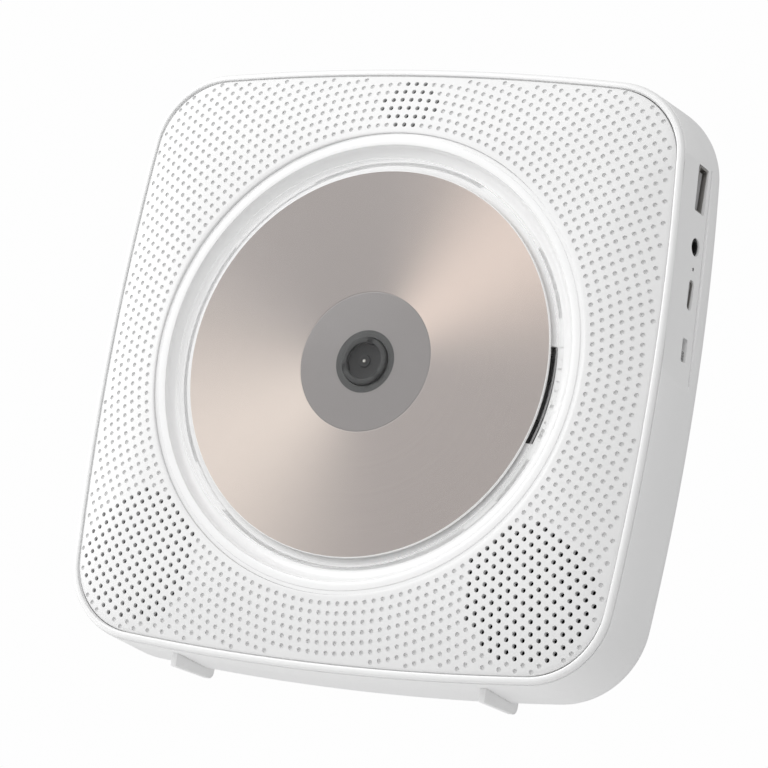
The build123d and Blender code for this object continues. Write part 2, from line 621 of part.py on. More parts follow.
# ---- mechanism base, rods, pickup and its drive -------------------------------------------------------
with BuildPart() as mechanism_base:
    with BuildSketch(track_level((BASE_FROM + BASE_TO) / 2, 0, BASE_UNDER)):
        RectangleRounded(BASE_TO - BASE_FROM, BASE_WIDTH, BASE_CORNER)
    extrude(amount=BASE_THICK)
    for along, across in DAMPERS:
        with BuildSketch(track_level(along, across, BASE_UNDER)):
            Circle(EAR_RADIUS)
        extrude(amount=BASE_THICK)
    with BuildSketch(level(BASE_UNDER)):
        Circle(MOTOR_NECK + RUNNING_FIT)
    extrude(amount=BASE_THICK, mode=Mode.SUBTRACT)
    with BuildSketch(track_level(POST_INNER + FEED_MOTOR_GAP, SCREW_OFFSET, BASE_UNDER)):
        Rectangle(FEED_MOTOR_LENGTH + 2 * FEED_MOTOR_GAP, 2 * (FEED_MOTOR_RADIUS + FEED_MOTOR_GAP),
                  align=(Align.MAX, Align.CENTER))
    extrude(amount=BASE_THICK, mode=Mode.SUBTRACT)
    with BuildSketch(track_level((LENS_START + POST_OUTER) / 2, 0, BASE_UNDER)):
        Rectangle(POST_OUTER - LENS_START, ACTUATOR_WIDTH)
    extrude(amount=BASE_THICK, mode=Mode.SUBTRACT)
    for start in (POST_INNER, POST_OUTER):
        with BuildSketch(track_level(start, 0, BASE_TOP)):
            Rectangle(POST_THICK, SLED_WIDTH, align=(Align.MIN, Align.CENTER))
        extrude(amount=SLED_TOP - BASE_TOP)
    with BuildSketch(track_section(POST_INNER + POST_THICK / 2, 0, ROD_HEIGHT)):
        with GridLocations(2 * ROD_SPREAD, 0, 2, 1):
            Circle(ROD_RADIUS)
    extrude(amount=POST_OUTER - POST_INNER, mode=Mode.SUBTRACT)
    with BuildSketch(track_section(POST_INNER, SCREW_OFFSET, ROD_HEIGHT)):
        Circle(SCREW_RADIUS + PLAY)
    extrude(amount=POST_THICK, mode=Mode.SUBTRACT)
    with BuildSketch(track_section(POST_OUTER, SCREW_OFFSET, ROD_HEIGHT)):
        Circle(SCREW_RADIUS + RUNNING_FIT)
    extrude(amount=POST_THICK / 2 + PLAY, mode=Mode.SUBTRACT)
save(mechanism_base, "mechanism_base")

with BuildPart() as guide_rods:
    with BuildSketch(track_section(POST_INNER + POST_THICK / 2, 0, ROD_HEIGHT)):
        with GridLocations(2 * ROD_SPREAD, 0, 2, 1):
            Circle(ROD_RADIUS)
    extrude(amount=POST_OUTER - POST_INNER)
save(guide_rods, "guide_rods")

with BuildPart() as feed_motor:
    with BuildSketch(track_section(POST_INNER, SCREW_OFFSET, ROD_HEIGHT)):
        Circle(FEED_MOTOR_RADIUS)
    extrude(amount=-FEED_MOTOR_LENGTH)
    with BuildSketch(track_section(POST_INNER, SCREW_OFFSET, ROD_HEIGHT)):
        Circle(SCREW_RADIUS + RUNNING_FIT)
    extrude(amount=-FEED_MOTOR_LENGTH / 2, mode=Mode.SUBTRACT)
save(feed_motor, "feed_motor")

with BuildPart() as feed_screw:
    with BuildSketch(track_section(POST_INNER - FEED_MOTOR_LENGTH / 2 + PLAY, SCREW_OFFSET, ROD_HEIGHT)):
        Circle(SCREW_RADIUS)
    extrude(amount=POST_OUTER + POST_THICK / 2 - POST_INNER + FEED_MOTOR_LENGTH / 2 - PLAY)
save(feed_screw, "feed_screw")

with BuildPart() as optical_pickup:
    with BuildSketch(track_level(LENS_START, 0, SLED_TOP - SLED_THICK)):
        RectangleRounded(SLED_LENGTH, SLED_WIDTH, SLED_CORNER)
    extrude(amount=SLED_THICK)
    with BuildSketch(track_section(LENS_START - SLED_LENGTH / 2, 0, ROD_HEIGHT)):
        with GridLocations(2 * ROD_SPREAD, 0, 2, 1):
            Circle(ROD_RADIUS + RUNNING_FIT)
        with Locations((SCREW_OFFSET, 0)):
            Circle(SCREW_RADIUS + PLAY)
    extrude(amount=SLED_LENGTH, mode=Mode.SUBTRACT)
save(optical_pickup, "optical_pickup")

with BuildPart() as pickup_lens:
    with BuildSketch(track_level(LENS_START, 0, SLED_TOP)):
        Rectangle(ACTUATOR_LENGTH, ACTUATOR_WIDTH)
    extrude(amount=ACTUATOR_RISE)
    with BuildSketch(track_level(LENS_START, 0, ACTUATOR_TOP)):
        Circle(LENS_RADIUS)
    extrude(amount=LENS_RISE)
save(pickup_lens, "pickup_lens")

with BuildPart() as chassis_dampers:
    for along, across in DAMPERS:
        with BuildSketch(track_level(along, across, BASE_TOP)):
            Circle(DAMPER_RADIUS)
        extrude(amount=DAMPER_HEIGHT)
save(chassis_dampers, "chassis_dampers")

# ---- rear cover ---------------------------------------------------------------------------------------
with BuildPart() as rear_cover:
    with BuildSketch(level(0)):
        RectangleRounded(2 * COVER_HALF, 2 * COVER_HALF, COVER_CORNER)
    extrude(amount=COVER_THICK)
    with BuildSketch(level(0)):
        with Locations([(side * KEYHOLE_SPACING / 2, KEYHOLE_Z) for side in (-1, 1)]):
            Circle(KEYHOLE_ENTRY)
        with Locations([(side * KEYHOLE_SPACING / 2, KEYHOLE_Z + KEYHOLE_DROP / 2) for side in (-1, 1)]):
            SlotCenterToCenter(KEYHOLE_DROP, 2 * KEYHOLE_SLOT, rotation=90)
    extrude(amount=COVER_THICK, mode=Mode.SUBTRACT)
    with BuildSketch(level(0)):
        with Locations([(x * FIXING_PLACE, z * FIXING_PLACE) for x, z in CORNERS]):
            Circle(HEAD_RADIUS + PLAY)
    extrude(amount=HEAD_SINK + HEAD_THICK, mode=Mode.SUBTRACT)
    with BuildSketch(level(0)):
        with Locations([(x * FIXING_PLACE, z * FIXING_PLACE) for x, z in CORNERS]):
            Circle(FIXING_RADIUS + PLAY)
    extrude(amount=COVER_THICK, mode=Mode.SUBTRACT)
    span_x = BOARD_RIGHT - BOARD_LEFT - 2 * STANDOFF_INSET
    span_z = BOARD_HIGH - BOARD_LOW - 2 * STANDOFF_INSET
    with BuildSketch(level(COVER_THICK)):
        with Locations(((BOARD_LEFT + BOARD_RIGHT) / 2, (BOARD_LOW + BOARD_HIGH) / 2)):
            with GridLocations(span_x, span_z, 2, 2):
                Rectangle(STANDOFF, STANDOFF)
    extrude(amount=BOARD_UNDER - COVER_THICK)
save(rear_cover, "rear_cover")

with BuildPart() as rear_screws:
    with BuildSketch(level(HEAD_SINK)):
        with Locations([(x * FIXING_PLACE, z * FIXING_PLACE) for x, z in CORNERS]):
            Circle(HEAD_RADIUS)
    extrude(amount=HEAD_THICK)
    with BuildSketch(level(HEAD_SINK + HEAD_THICK)):
        with Locations([(x * FIXING_PLACE, z * FIXING_PLACE) for x, z in CORNERS]):
            Circle(FIXING_RADIUS)
    extrude(amount=FIXING_LENGTH)
save(rear_screws, "rear_screws")

# ---- main board and sockets ---------------------------------------------------------------------------
with BuildPart() as main_board:
    with BuildSketch(level(BOARD_UNDER)):
        with Locations((BOARD_LEFT, BOARD_LOW)):
            Rectangle(BOARD_RIGHT - BOARD_LEFT, BOARD_HIGH - BOARD_LOW, align=Align.MIN)
    extrude(amount=BOARD_THICK)
save(main_board, "main_board")

usb_front = facet_x(PORT_HEIGHT, USB_Z) - SOCKET_SINK
with BuildPart() as usb_socket:
    with BuildSketch(port_plane(usb_front)):
        with Locations((0, USB_Z)):
            Rectangle(USB_THICK, USB_WIDTH)
    extrude(amount=-USB_DEPTH)
    with BuildSketch(port_plane(usb_front)):
        with Locations((0, USB_Z)):
            Rectangle(USB_THICK - 2 * USB_SHELL, USB_WIDTH - 2 * USB_SHELL)
    extrude(amount=USB_SHELL - USB_DEPTH, mode=Mode.SUBTRACT)
    with BuildSketch(port_plane(usb_front - USB_MOUTH)):
        with Locations((USB_THICK / 2 - USB_SHELL - USB_TONGUE_GAP, USB_Z)):
            tongue_width = USB_WIDTH - 2 * (USB_SHELL + USB_TONGUE_GAP)
            Rectangle(USB_TONGUE, tongue_width, align=(Align.MAX, Align.CENTER))
    extrude(amount=USB_MOUTH - USB_DEPTH)
save(usb_socket, "usb_socket")

jack_front = facet_x(PORT_HEIGHT, JACK_Z) - SOCKET_SINK
with BuildPart() as audio_jack:
    with BuildSketch(port_plane(jack_front)):
        with Locations((0, JACK_Z)):
            Circle(JACK_NOSE)
    extrude(amount=-JACK_SET_BACK - WALL)
    with BuildSketch(port_plane(jack_front - JACK_SET_BACK - WALL)):
        with Locations((0, JACK_Z)):
            Rectangle(2 * (PORT_HEIGHT - BOARD_TOP), JACK_WIDTH)
    extrude(amount=JACK_SET_BACK + WALL - JACK_DEPTH - USB_SHELL)
    with BuildSketch(port_plane(jack_front)):
        with Locations((0, JACK_Z)):
            Circle(JACK_BORE)
    extrude(amount=-JACK_DEPTH, mode=Mode.SUBTRACT)
save(audio_jack, "audio_jack")

with BuildPart() as status_light_pipe:
    with BuildSketch(port_plane(BOARD_RIGHT)):
        with Locations((0, LIGHT_Z)):
            Circle(LIGHT_RADIUS)
    extrude(amount=facet_x(PORT_HEIGHT, LIGHT_Z) - BOARD_RIGHT)
    with BuildSketch(level(BOARD_TOP)):
        with Locations((BOARD_RIGHT, LIGHT_Z)):
            Rectangle(LIGHT_FOOT, LIGHT_FOOT, align=(Align.MAX, Align.CENTER))
    extrude(amount=PORT_HEIGHT - BOARD_TOP + LIGHT_FOOT / 2)
save(status_light_pipe, "status_light_pipe")

charge_front = facet_x(PORT_HEIGHT, CHARGE_Z) - SOCKET_SINK
with BuildPart() as charge_socket:
    with BuildSketch(port_plane(charge_front)):
        with Locations((0, CHARGE_Z)):
            SlotOverall(CHARGE_WIDTH, CHARGE_THICK, rotation=90)
    extrude(amount=-CHARGE_DEPTH)
    with BuildSketch(port_plane(charge_front)):
        with Locations((0, CHARGE_Z)):
            SlotOverall(CHARGE_WIDTH - 2 * CHARGE_SHELL, CHARGE_THICK - 2 * CHARGE_SHELL, rotation=90)
    extrude(amount=CHARGE_SHELL - CHARGE_DEPTH, mode=Mode.SUBTRACT)
    with BuildSketch(port_plane(charge_front - CHARGE_TONGUE)):
        with Locations((0, CHARGE_Z)):
            Rectangle(CHARGE_TONGUE, CHARGE_WIDTH - CHARGE_THICK)
    extrude(amount=CHARGE_TONGUE - CHARGE_DEPTH)
    with BuildSketch(level(BOARD_TOP)):
        with Locations((BOARD_RIGHT, CHARGE_Z)):
            Rectangle(CHARGE_DEPTH - WALL, CHARGE_WIDTH - CHARGE_THICK, align=(Align.MAX, Align.CENTER))
    extrude(amount=PORT_HEIGHT - CHARGE_THICK / 2 - BOARD_TOP)
save(charge_socket, "charge_socket")

switch_front = facet_x(PORT_HEIGHT, SWITCH_Z) - WALL - SWITCH_WALL_GAP
with BuildPart() as power_switch:
    with BuildSketch(port_plane(switch_front)):
        with Locations((0, SWITCH_Z)):
            Rectangle(2 * (PORT_HEIGHT - BOARD_TOP), SWITCH_LENGTH)
    extrude(amount=-SWITCH_DEPTH)
    with BuildSketch(port_plane(switch_front)):
        with Locations((0, SWITCH_Z)):
            Rectangle(SWITCH_SLOT_THICK, SWITCH_SLOT)
    extrude(amount=-SWITCH_CHANNEL, mode=Mode.SUBTRACT)
save(power_switch, "power_switch")

with BuildPart() as switch_knob:
    with BuildSketch(port_plane(switch_front - SWITCH_CHANNEL + PLAY)):
        with Locations((0, SWITCH_Z - SWITCH_SLOT / 2 + SOCKET_GAP / 2)):
            Rectangle(SWITCH_SLOT_THICK - 2 * SOCKET_GAP, KNOB_LENGTH, align=(Align.CENTER, Align.MIN))
    extrude(amount=SWITCH_CHANNEL - PLAY + SWITCH_WALL_GAP + WALL - KNOB_SINK)
save(switch_knob, "switch_knob")

with BuildPart() as battery:
    with BuildSketch(level(COVER_THICK)):
        with Locations((0, BATTERY_Z)):
            Rectangle(BATTERY_LENGTH, BATTERY_WIDTH)
    extrude(amount=BATTERY_THICK)
    fillet(battery.edges().filter_by(Axis.X), BATTERY_ROUND)
save(battery, "battery")

# ---- display, buttons and their board -----------------------------------------------------------------
with BuildPart() as display_board:
    with BuildSketch(level(DISPLAY_TOP)):
        with Locations((0, DISPLAY_Z)):
            Rectangle(DISPLAY_WIDTH, DISPLAY_DEPTH)
    extrude(amount=-DISPLAY_THICK)
save(display_board, "display_board")

with BuildPart() as button_board:
    with BuildSketch(Plane.XY.offset(board_front)):
        with Locations((0, -BUTTON_HEIGHT)):
            Rectangle(BUTTON_SPAN + 2 * (BUTTON_WIDTH + KEY_BOARD_END), KEY_BOARD_WIDTH)
    extrude(amount=-KEY_BOARD_THICK)
    with BuildSketch(Plane.XY.offset(board_front)):
        with Locations((0, -BUTTON_HEIGHT)):
            with GridLocations(BUTTON_PITCH, 0, len(BUTTONS), 1):
                Rectangle(KEY_SWITCH, KEY_SWITCH)
    extrude(amount=KEY_BOARD_DROP - WALL - 2 * (BUTTON_TRAVEL + PLAY) - BUTTON_FLANGE)
save(button_board, "button_board")

for index, name in enumerate(BUTTONS):
    centre = index * BUTTON_PITCH - BUTTON_SPAN / 2
    lip_half = BUTTON_WIDTH / 2 + BUTTON_LIP
    lip_height = BUTTON_HEIGHT + BUTTON_THICK / 2 + BUTTON_LIP
    lip_top = side_x(lip_height, abs(centre) + lip_half) - WALL - PLAY
    with BuildPart() as button:
        with BuildSketch(Plane.XY.offset(lip_top)):
            with Locations((centre, -BUTTON_HEIGHT)):
                Rectangle(2 * lip_half, BUTTON_THICK + 2 * BUTTON_LIP)
        extrude(amount=-BUTTON_FLANGE)
        with BuildSketch(Plane.XY.offset(lip_top)):
            with Locations((centre, -BUTTON_HEIGHT)):
                Rectangle(BUTTON_WIDTH, BUTTON_THICK)
        extrude(amount=side_x(BUTTON_HEIGHT, centre) + BUTTON_RISE - lip_top)
    save(button, name)

# ---- feet and speakers --------------------------------------------------------------------------------
for name, side in (("foot_left", -1), ("foot_right", 1)):
    with BuildPart() as foot:
        with BuildSketch(Plane.YZ.offset(side * FOOT_X)):
            with Locations((-FOOT_FRONT, FOOT_BOTTOM)):
                Rectangle(FOOT_FRONT - FOOT_REAR, FOOT_TOP - FOOT_BOTTOM, align=Align.MIN)
        extrude(amount=FOOT_THICK / 2, both=True)
        low_rear_edge = foot.edges().filter_by(Axis.X).group_by(Axis.Y)[-1].sort_by(Axis.Z)[0]
        fillet(low_rear_edge, FOOT_ROUND)
    save(foot, name)

with BuildPart() as speakers:
    for x, z in SPEAKERS:
        with BuildSketch(Plane(origin=(x, 0, z))):
            with BuildLine():
                Polyline(
                    (0, CONE_DEPTH - SPEAKER_FRONT),
                    (CONE_NECK, CONE_DEPTH - SPEAKER_FRONT),
                    (SPEAKER_RIM - SPEAKER_RIM_WIDTH, -SPEAKER_FRONT),
                    (SPEAKER_RIM, -SPEAKER_FRONT),
                    (SPEAKER_RIM, SPEAKER_RIM_THICK - SPEAKER_FRONT),
                    (MAGNET_RADIUS, SPEAKER_DEPTH - MAGNET_THICK - SPEAKER_FRONT),
                    (MAGNET_RADIUS, SPEAKER_DEPTH - SPEAKER_FRONT),
                    (0, SPEAKER_DEPTH - SPEAKER_FRONT),
                    close=True,
                )
            make_face()
        revolve(axis=Axis((x, 0, z), (0, 1, 0)))
save(speakers, "speakers")
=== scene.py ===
from math import atan2, cos, hypot, pi, radians, sin, sqrt, tan

import bmesh
import bpy
from mathutils import Matrix, Vector


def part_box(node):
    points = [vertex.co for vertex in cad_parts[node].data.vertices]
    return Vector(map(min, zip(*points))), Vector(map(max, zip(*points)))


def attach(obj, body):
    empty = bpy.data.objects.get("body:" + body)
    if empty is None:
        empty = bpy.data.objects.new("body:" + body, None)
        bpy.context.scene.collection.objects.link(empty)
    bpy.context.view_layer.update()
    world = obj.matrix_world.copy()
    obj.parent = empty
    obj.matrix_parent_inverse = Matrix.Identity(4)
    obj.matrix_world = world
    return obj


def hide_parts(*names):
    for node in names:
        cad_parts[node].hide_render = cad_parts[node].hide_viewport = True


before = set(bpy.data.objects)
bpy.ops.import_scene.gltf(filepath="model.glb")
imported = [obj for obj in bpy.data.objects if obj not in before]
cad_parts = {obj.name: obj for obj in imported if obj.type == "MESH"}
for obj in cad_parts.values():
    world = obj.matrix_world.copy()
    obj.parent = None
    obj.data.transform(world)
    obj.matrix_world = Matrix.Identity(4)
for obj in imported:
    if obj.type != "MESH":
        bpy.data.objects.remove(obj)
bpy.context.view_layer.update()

# A CD player that hangs on a wall. The wall is the plane y = 0, the spindle axis is the y axis, the front
# faces -y and +z is up. A "height" is the distance out from the wall. Lengths in the tables below are in
# millimetres and are turned to metres where the meshes are made.

MM = 0.001

SIDE_BOW = 792.0         # radius of the gently bowed sides
PANEL_HALF = 91.2        # half width of the front panel
PANEL_CORNER = 23.5
CORNER_EASE = 0.03       # the corner radius grows with the square of the inset
PANEL_EDGE = 30.1        # height of the panel's border
DOME_RISE = 5.2
DOME_REACH = 25.7        # distance from the border to the flat top of the dome
PANEL_OPENING = 71.5     # radius of the opening round the disc well
PANEL_THICK = 1.6
PANEL_STEPS = 26         # bands of the panel from its border to its opening
UNDERSIDE_STEPS = 12     # and back on its underside
DOME_HALVINGS = 18       # halvings that find how far in from the border a point lies

TURN_STEPS = 180         # steps of a turned piece
FINE_TURN_STEPS = 240    # of the cap and the disc
SWEEP_STEPS = 360        # steps round the outline of the body
HOUSING_STEPS = 720      # and round the housing
SMOOTH_ANGLE = 32.0      # edges sharper than this stay sharp
MERGE_GAP = 0.001        # points closer than this are one

HOLE_PITCH = 2.85        # distance between the rings of holes
HOLE_RADIUS = 0.74
HOLE_SIDES = 12
HOLES_PER_RING = 6       # the nth ring holds 6 n holes
HOLE_START = 30          # direction of each ring's first hole, in degrees
DIMPLE_DEPTH = 0.65      # depth of the holes that don't go through
DRILL_DEPTH = 4.0        # and of those that do
DRILL_ABOVE = 1.5        # the pins start this far above the panel
FIRST_RING = 26
LAST_RING = 41
EDGE_MARGIN = 1.15       # a hole's centre stays this far inside the panel's border
SPEAKER_X = 65.5
SPEAKER_Z = -65.0
SPEAKER_FIELD = 20.3     # radius of the open holes over each speaker
DISPLAY_RINGS = 6        # rings of open holes over the display

REAR_HALF = 95.6         # half width of the body at the wall
FRONT_HALF = 93.75       # and at the front edge of its side walls
WALL_TOP = 28.6          # height of that edge
BODY_CORNER = 25.0
REAR_ROUND = 4.2         # the rear edge's rounding takes this much off the sides
REAR_RISE = 7.0          # and starts at this height
FACET_LOW = 2.0          # the flat for the sockets runs between these two z
FACET_HIGH = 72.0
HOUSING_SKIN = 3.2       # thickness of its walls
FLANGE_HALF = 86.8       # half width of the recess for the rear cover
FLANGE_CORNER = 19.3
REAR_OPENING = 83.6      # half width of the opening inside that recess
REAR_OPENING_CORNER = 42.0
COVER_THICK = 2.4
FLANGE_TOP = 4.4
FOOT_X = 52.0

PORT_HEIGHT = 15.5       # height of the row of sockets
PORT_SINK = 0.4          # their faces lie this far below the flat
USB_Z = 62.4
JACK_Z = 44.8
LIGHT_Z = 38.1
CHARGE_Z = 30.2
SWITCH_Z = 13.5
SIDE_REACH = 102.0       # a tool for the side ends clear of the body

KEY_HEIGHT = 15.0        # height of the row of keys
KEY_PITCH = 14.0
SIGN_DEPTH = 0.25

KEYHOLE_X = 50.0
KEYHOLE_Z = 45.0
KEYHOLE_ENTRY = 4.2
KEYHOLE_SLOT = 4.4
SCREW_PLACE = 74.5       # of the four screws, from the middle both ways

WELL_FLOOR = 30.6        # height of the floor under the disc
WELL_BAND = 34.2         # the flat band and its edges lie above this height
WINDOW_RADIUS = 61.6     # outer end of the opening over the pickup's track
WINDOW_TURN = 6.0        # degrees that the track dips below +x
CAP_RIM = 63.0           # the cap's outer rounding lies outside this radius
CAP_RIM_LOW = 34.9       # and above this height
DISC_TOP = 33.0
BORE_ZONE = 9.7          # radii between the zones of the disc
CLAMP_ZONE = 21.7
COATED_ZONE = 59.7
HUB_RIM = 5.6            # the hub's greyer rim lies outside this radius

DISC_GREY = "a39b97"
DISC_GREY_DEEP = "9e9693"
# Direction in degrees from +x, reach to each side in degrees, sharpness and colour of each painted fan:
# the first is a painted shade, the other two are painted highlights of the track's reflection.
DISC_PAINTED_FANS = ((112.0, 68.0, 1.0, "918a87"), (42.0, 62.0, 4.2, "d3c3b9"), (216.0, 90.0, 3.3, "d4c8bf"))

ROOM_LIGHT = 0.541       # strength of the white room as it lights the object
ROOM_SEEN = 0.99         # and as the camera sees it


# ---- making of meshes ---------------------------------------------------------------------------------

def tone(code):
    """A colour given as sRGB hex, turned to the linear values the shaders take."""
    values = []
    for place in (0, 2, 4):
        part = int(code[place:place + 2], 16) / 255
        values.append(part / 12.92 if part <= 0.04045 else ((part + 0.055) / 1.055) ** 2.4)
    return (*values, 1.0)


def alone(piece):
    """Makes one piece the selected and active one."""
    bpy.ops.object.select_all(action="DESELECT")
    piece.select_set(True)
    bpy.context.view_layer.objects.active = piece


def apply_modifier(piece, kind, **settings):
    alone(piece)
    modifier = piece.modifiers.new(kind.title(), kind)
    for name, value in settings.items():
        setattr(modifier, name, value)
    bpy.ops.object.modifier_apply(modifier=modifier.name)


def settle(piece):
    """Puts the piece's place in its mesh and smooths it, keeping its sharp edges."""
    alone(piece)
    bpy.ops.object.transform_apply(location=True, rotation=True, scale=True)
    bpy.ops.object.shade_smooth_by_angle(angle=radians(SMOOTH_ANGLE))
    return piece


def merge(piece):
    """Joins doubled points and turns every face outwards."""
    alone(piece)
    bpy.ops.object.mode_set(mode="EDIT")
    bpy.ops.mesh.select_all(action="SELECT")
    bpy.ops.mesh.remove_doubles(threshold=MERGE_GAP * MM)
    bpy.ops.mesh.delete_loose()
    bpy.ops.mesh.select_all(action="SELECT")
    bpy.ops.mesh.normals_make_consistent(inside=False)
    bpy.ops.object.mode_set(mode="OBJECT")


def bowed_square(half, corner, angle):
    """Distance from the axis to the edge of a square with bowed sides and rounded corners."""
    fold = abs((angle + pi / 4) % (pi / 2) - pi / 4)
    back = half - SIDE_BOW
    reach = SIDE_BOW - corner
    middle = (back + sqrt(2 * reach ** 2 - back ** 2)) / 2
    touch = atan2(SIDE_BOW * middle / reach, back + SIDE_BOW * (middle - back) / reach)
    if fold <= touch:
        return back * cos(fold) + sqrt(SIDE_BOW ** 2 - (back * sin(fold)) ** 2)
    along = middle * (cos(fold) + sin(fold))
    return along + sqrt(along ** 2 - (2 * middle ** 2 - corner ** 2))


def swept(name, rings, steps=SWEEP_STEPS):
    """Extrudes a ring of points from one outline to the next, and from the last back to the first.

    A ring is (distance from the axis at an angle, height at a place)."""
    bpy.ops.object.select_all(action="DESELECT")
    bpy.ops.mesh.primitive_circle_add(vertices=steps, radius=0.09, rotation=(pi / 2, 0, 0))
    piece = bpy.context.object
    piece.name = piece.data.name = name
    bpy.ops.object.transform_apply(location=False, rotation=True, scale=False)
    bpy.ops.object.mode_set(mode="EDIT")
    bpy.ops.mesh.select_all(action="SELECT")
    for count, (distance, height) in enumerate(rings + rings[:1]):
        if count:
            bpy.ops.mesh.extrude_edges_move()
        mesh = bmesh.from_edit_mesh(piece.data)
        for point in mesh.verts:
            if point.select:
                angle = atan2(point.co.z, point.co.x)
                away = distance(angle)
                x, z = away * cos(angle), away * sin(angle)
                point.co = (x * MM, -height(x, z) * MM, z * MM)
        bmesh.update_edit_mesh(piece.data)
    bpy.ops.object.mode_set(mode="OBJECT")
    merge(piece)
    return piece


def rounded_square(half, corner):
    """Distance from the axis to a square with straight sides and rounded corners, at an angle."""
    def distance(angle):
        fold = abs((angle + pi / 4) % (pi / 2) - pi / 4)
        middle = half - corner
        if half * tan(fold) <= middle:
            return half / cos(fold)
        along = middle * (cos(fold) + sin(fold))
        return along + sqrt(along ** 2 - (2 * middle ** 2 - corner ** 2))
    return distance


def rounded(width, tall, corner, middle=(0.0, 0.0), steps=6):
    """Outline of a rectangle with rounded corners."""
    points = []
    for quarter, (side, rise) in enumerate([(1, 1), (-1, 1), (-1, -1), (1, -1)]):
        for step in range(steps + 1):
            angle = pi / 2 * (quarter + step / steps)
            points.append((middle[0] + side * (width / 2 - corner) + corner * cos(angle),
                           middle[1] + rise * (tall / 2 - corner) + corner * sin(angle)))
    return points


LAY = {
    "front": lambda u, v, along: (u, -along, v),     # drawn seen from the front, extruded outwards
    "side": lambda u, v, along: (along, -u, v),      # drawn as height and z, extruded to the right
    "top": lambda u, v, along: (u, -v, along),       # drawn as x and height, extruded upwards
}


def prism(name, outline, start, end, lay, ease=0.0):
    """Fills a closed outline, extrudes it from start to end and rounds its edges a little."""
    bpy.ops.object.select_all(action="DESELECT")
    bpy.ops.mesh.primitive_circle_add(vertices=len(outline), radius=0.01, fill_type="NGON")
    piece = bpy.context.object
    piece.name = piece.data.name = name
    bpy.ops.object.mode_set(mode="EDIT")
    mesh = bmesh.from_edit_mesh(piece.data)
    mesh.verts.ensure_lookup_table()
    for point, (u, v) in zip(mesh.verts, outline):
        point.co = Vector(LAY[lay](u, v, start)) * MM
    bmesh.update_edit_mesh(piece.data)
    bpy.ops.mesh.select_all(action="SELECT")
    move = Vector(LAY[lay](0.0, 0.0, end - start)) * MM
    bpy.ops.mesh.extrude_region_move(TRANSFORM_OT_translate={"value": tuple(move)})
    bpy.ops.object.mode_set(mode="OBJECT")
    merge(piece)
    if ease:
        apply_modifier(piece, "BEVEL", width=ease * MM, segments=3, limit_method="ANGLE",
                       angle_limit=radians(50))
    return piece


def disc_outline(radius, middle=(0.0, 0.0), steps=32):
    turns = [2 * pi * step / steps for step in range(steps)]
    return [(middle[0] + radius * cos(turn), middle[1] + radius * sin(turn)) for turn in turns]


def combine(pieces):
    """Sets several pieces side by side in one mesh."""
    bpy.ops.object.select_all(action="DESELECT")
    for piece in pieces:
        piece.select_set(True)
    bpy.context.view_layer.objects.active = pieces[0]
    bpy.ops.object.join()
    return pieces[0]


def cut(piece, tools, operation="DIFFERENCE"):
    """Takes the tools, which don't touch each other, from the piece, or joins them to it."""
    tool = combine(tools)
    apply_modifier(piece, "BOOLEAN", object=tool, operation=operation, solver="MANIFOLD")
    bpy.data.objects.remove(tool)


def level(value):
    return lambda x, z: value


def bowed(half, corner):
    return lambda angle: bowed_square(half, corner, angle)


def turned(name, profile, steps=TURN_STEPS):
    """Spins a closed profile of (radius, height) points about the spindle axis."""
    bpy.ops.object.select_all(action="DESELECT")
    bpy.ops.mesh.primitive_circle_add(vertices=len(profile), radius=0.01)
    piece = bpy.context.object
    piece.name = piece.data.name = name
    bpy.ops.object.mode_set(mode="EDIT")
    mesh = bmesh.from_edit_mesh(piece.data)
    mesh.verts.ensure_lookup_table()
    for point, (radius, height) in zip(mesh.verts, profile):
        point.co = (radius * MM, -height * MM, 0.0)
    bmesh.update_edit_mesh(piece.data)
    bpy.ops.mesh.select_all(action="SELECT")
    bpy.ops.mesh.spin(steps=steps, angle=2 * pi, center=(0, 0, 0), axis=(0, 1, 0), use_auto_merge=True)
    bpy.ops.object.mode_set(mode="OBJECT")
    merge(piece)
    return piece


def arc(radius, height, size, start, end, steps=6):
    """Points of a profile's rounding: centre, size, and the angles it runs between in degrees."""
    points = []
    for step in range(steps + 1):
        angle = radians(start + (end - start) * step / steps)
        points.append((radius + size * cos(angle), height + size * sin(angle)))
    return points


def finish_piece(piece, body, nodes, materials):
    """The last steps of every new piece: smoothing, finish, body and the nodes it stands for."""
    settle(piece)
    piece.data.materials.clear()
    for material in materials:
        piece.data.materials.append(material)
    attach(piece, body)
    if nodes:
        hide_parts(*nodes)
    return piece


# ---- materials ----------------------------------------------------------------------------------------

def add(tree, kind, values=None, links=None, **settings):
    """Adds a node: its settings, the values of its sockets and the outputs that feed them."""
    made = tree.nodes.new(kind)
    for name, value in settings.items():
        setattr(made, name, value)
    for socket, value in (values or {}).items():
        made.inputs[socket].default_value = value
    for socket, source in (links or {}).items():
        tree.links.new(source, made.inputs[socket])
    return made


def new_material(name, **values):
    """A material with its shader on the surface; returns it, its tree, shader and place on the piece."""
    material = bpy.data.materials.new(name)
    material.use_nodes = True
    tree = material.node_tree
    tree.nodes.clear()
    shader = add(tree, "ShaderNodeBsdfPrincipled", {k.replace("_", " "): v for k, v in values.items()})
    add(tree, "ShaderNodeOutputMaterial", links={"Surface": shader.outputs["BSDF"]})
    place = add(tree, "ShaderNodeTexCoord").outputs["Object"]
    return material, tree, shader, place


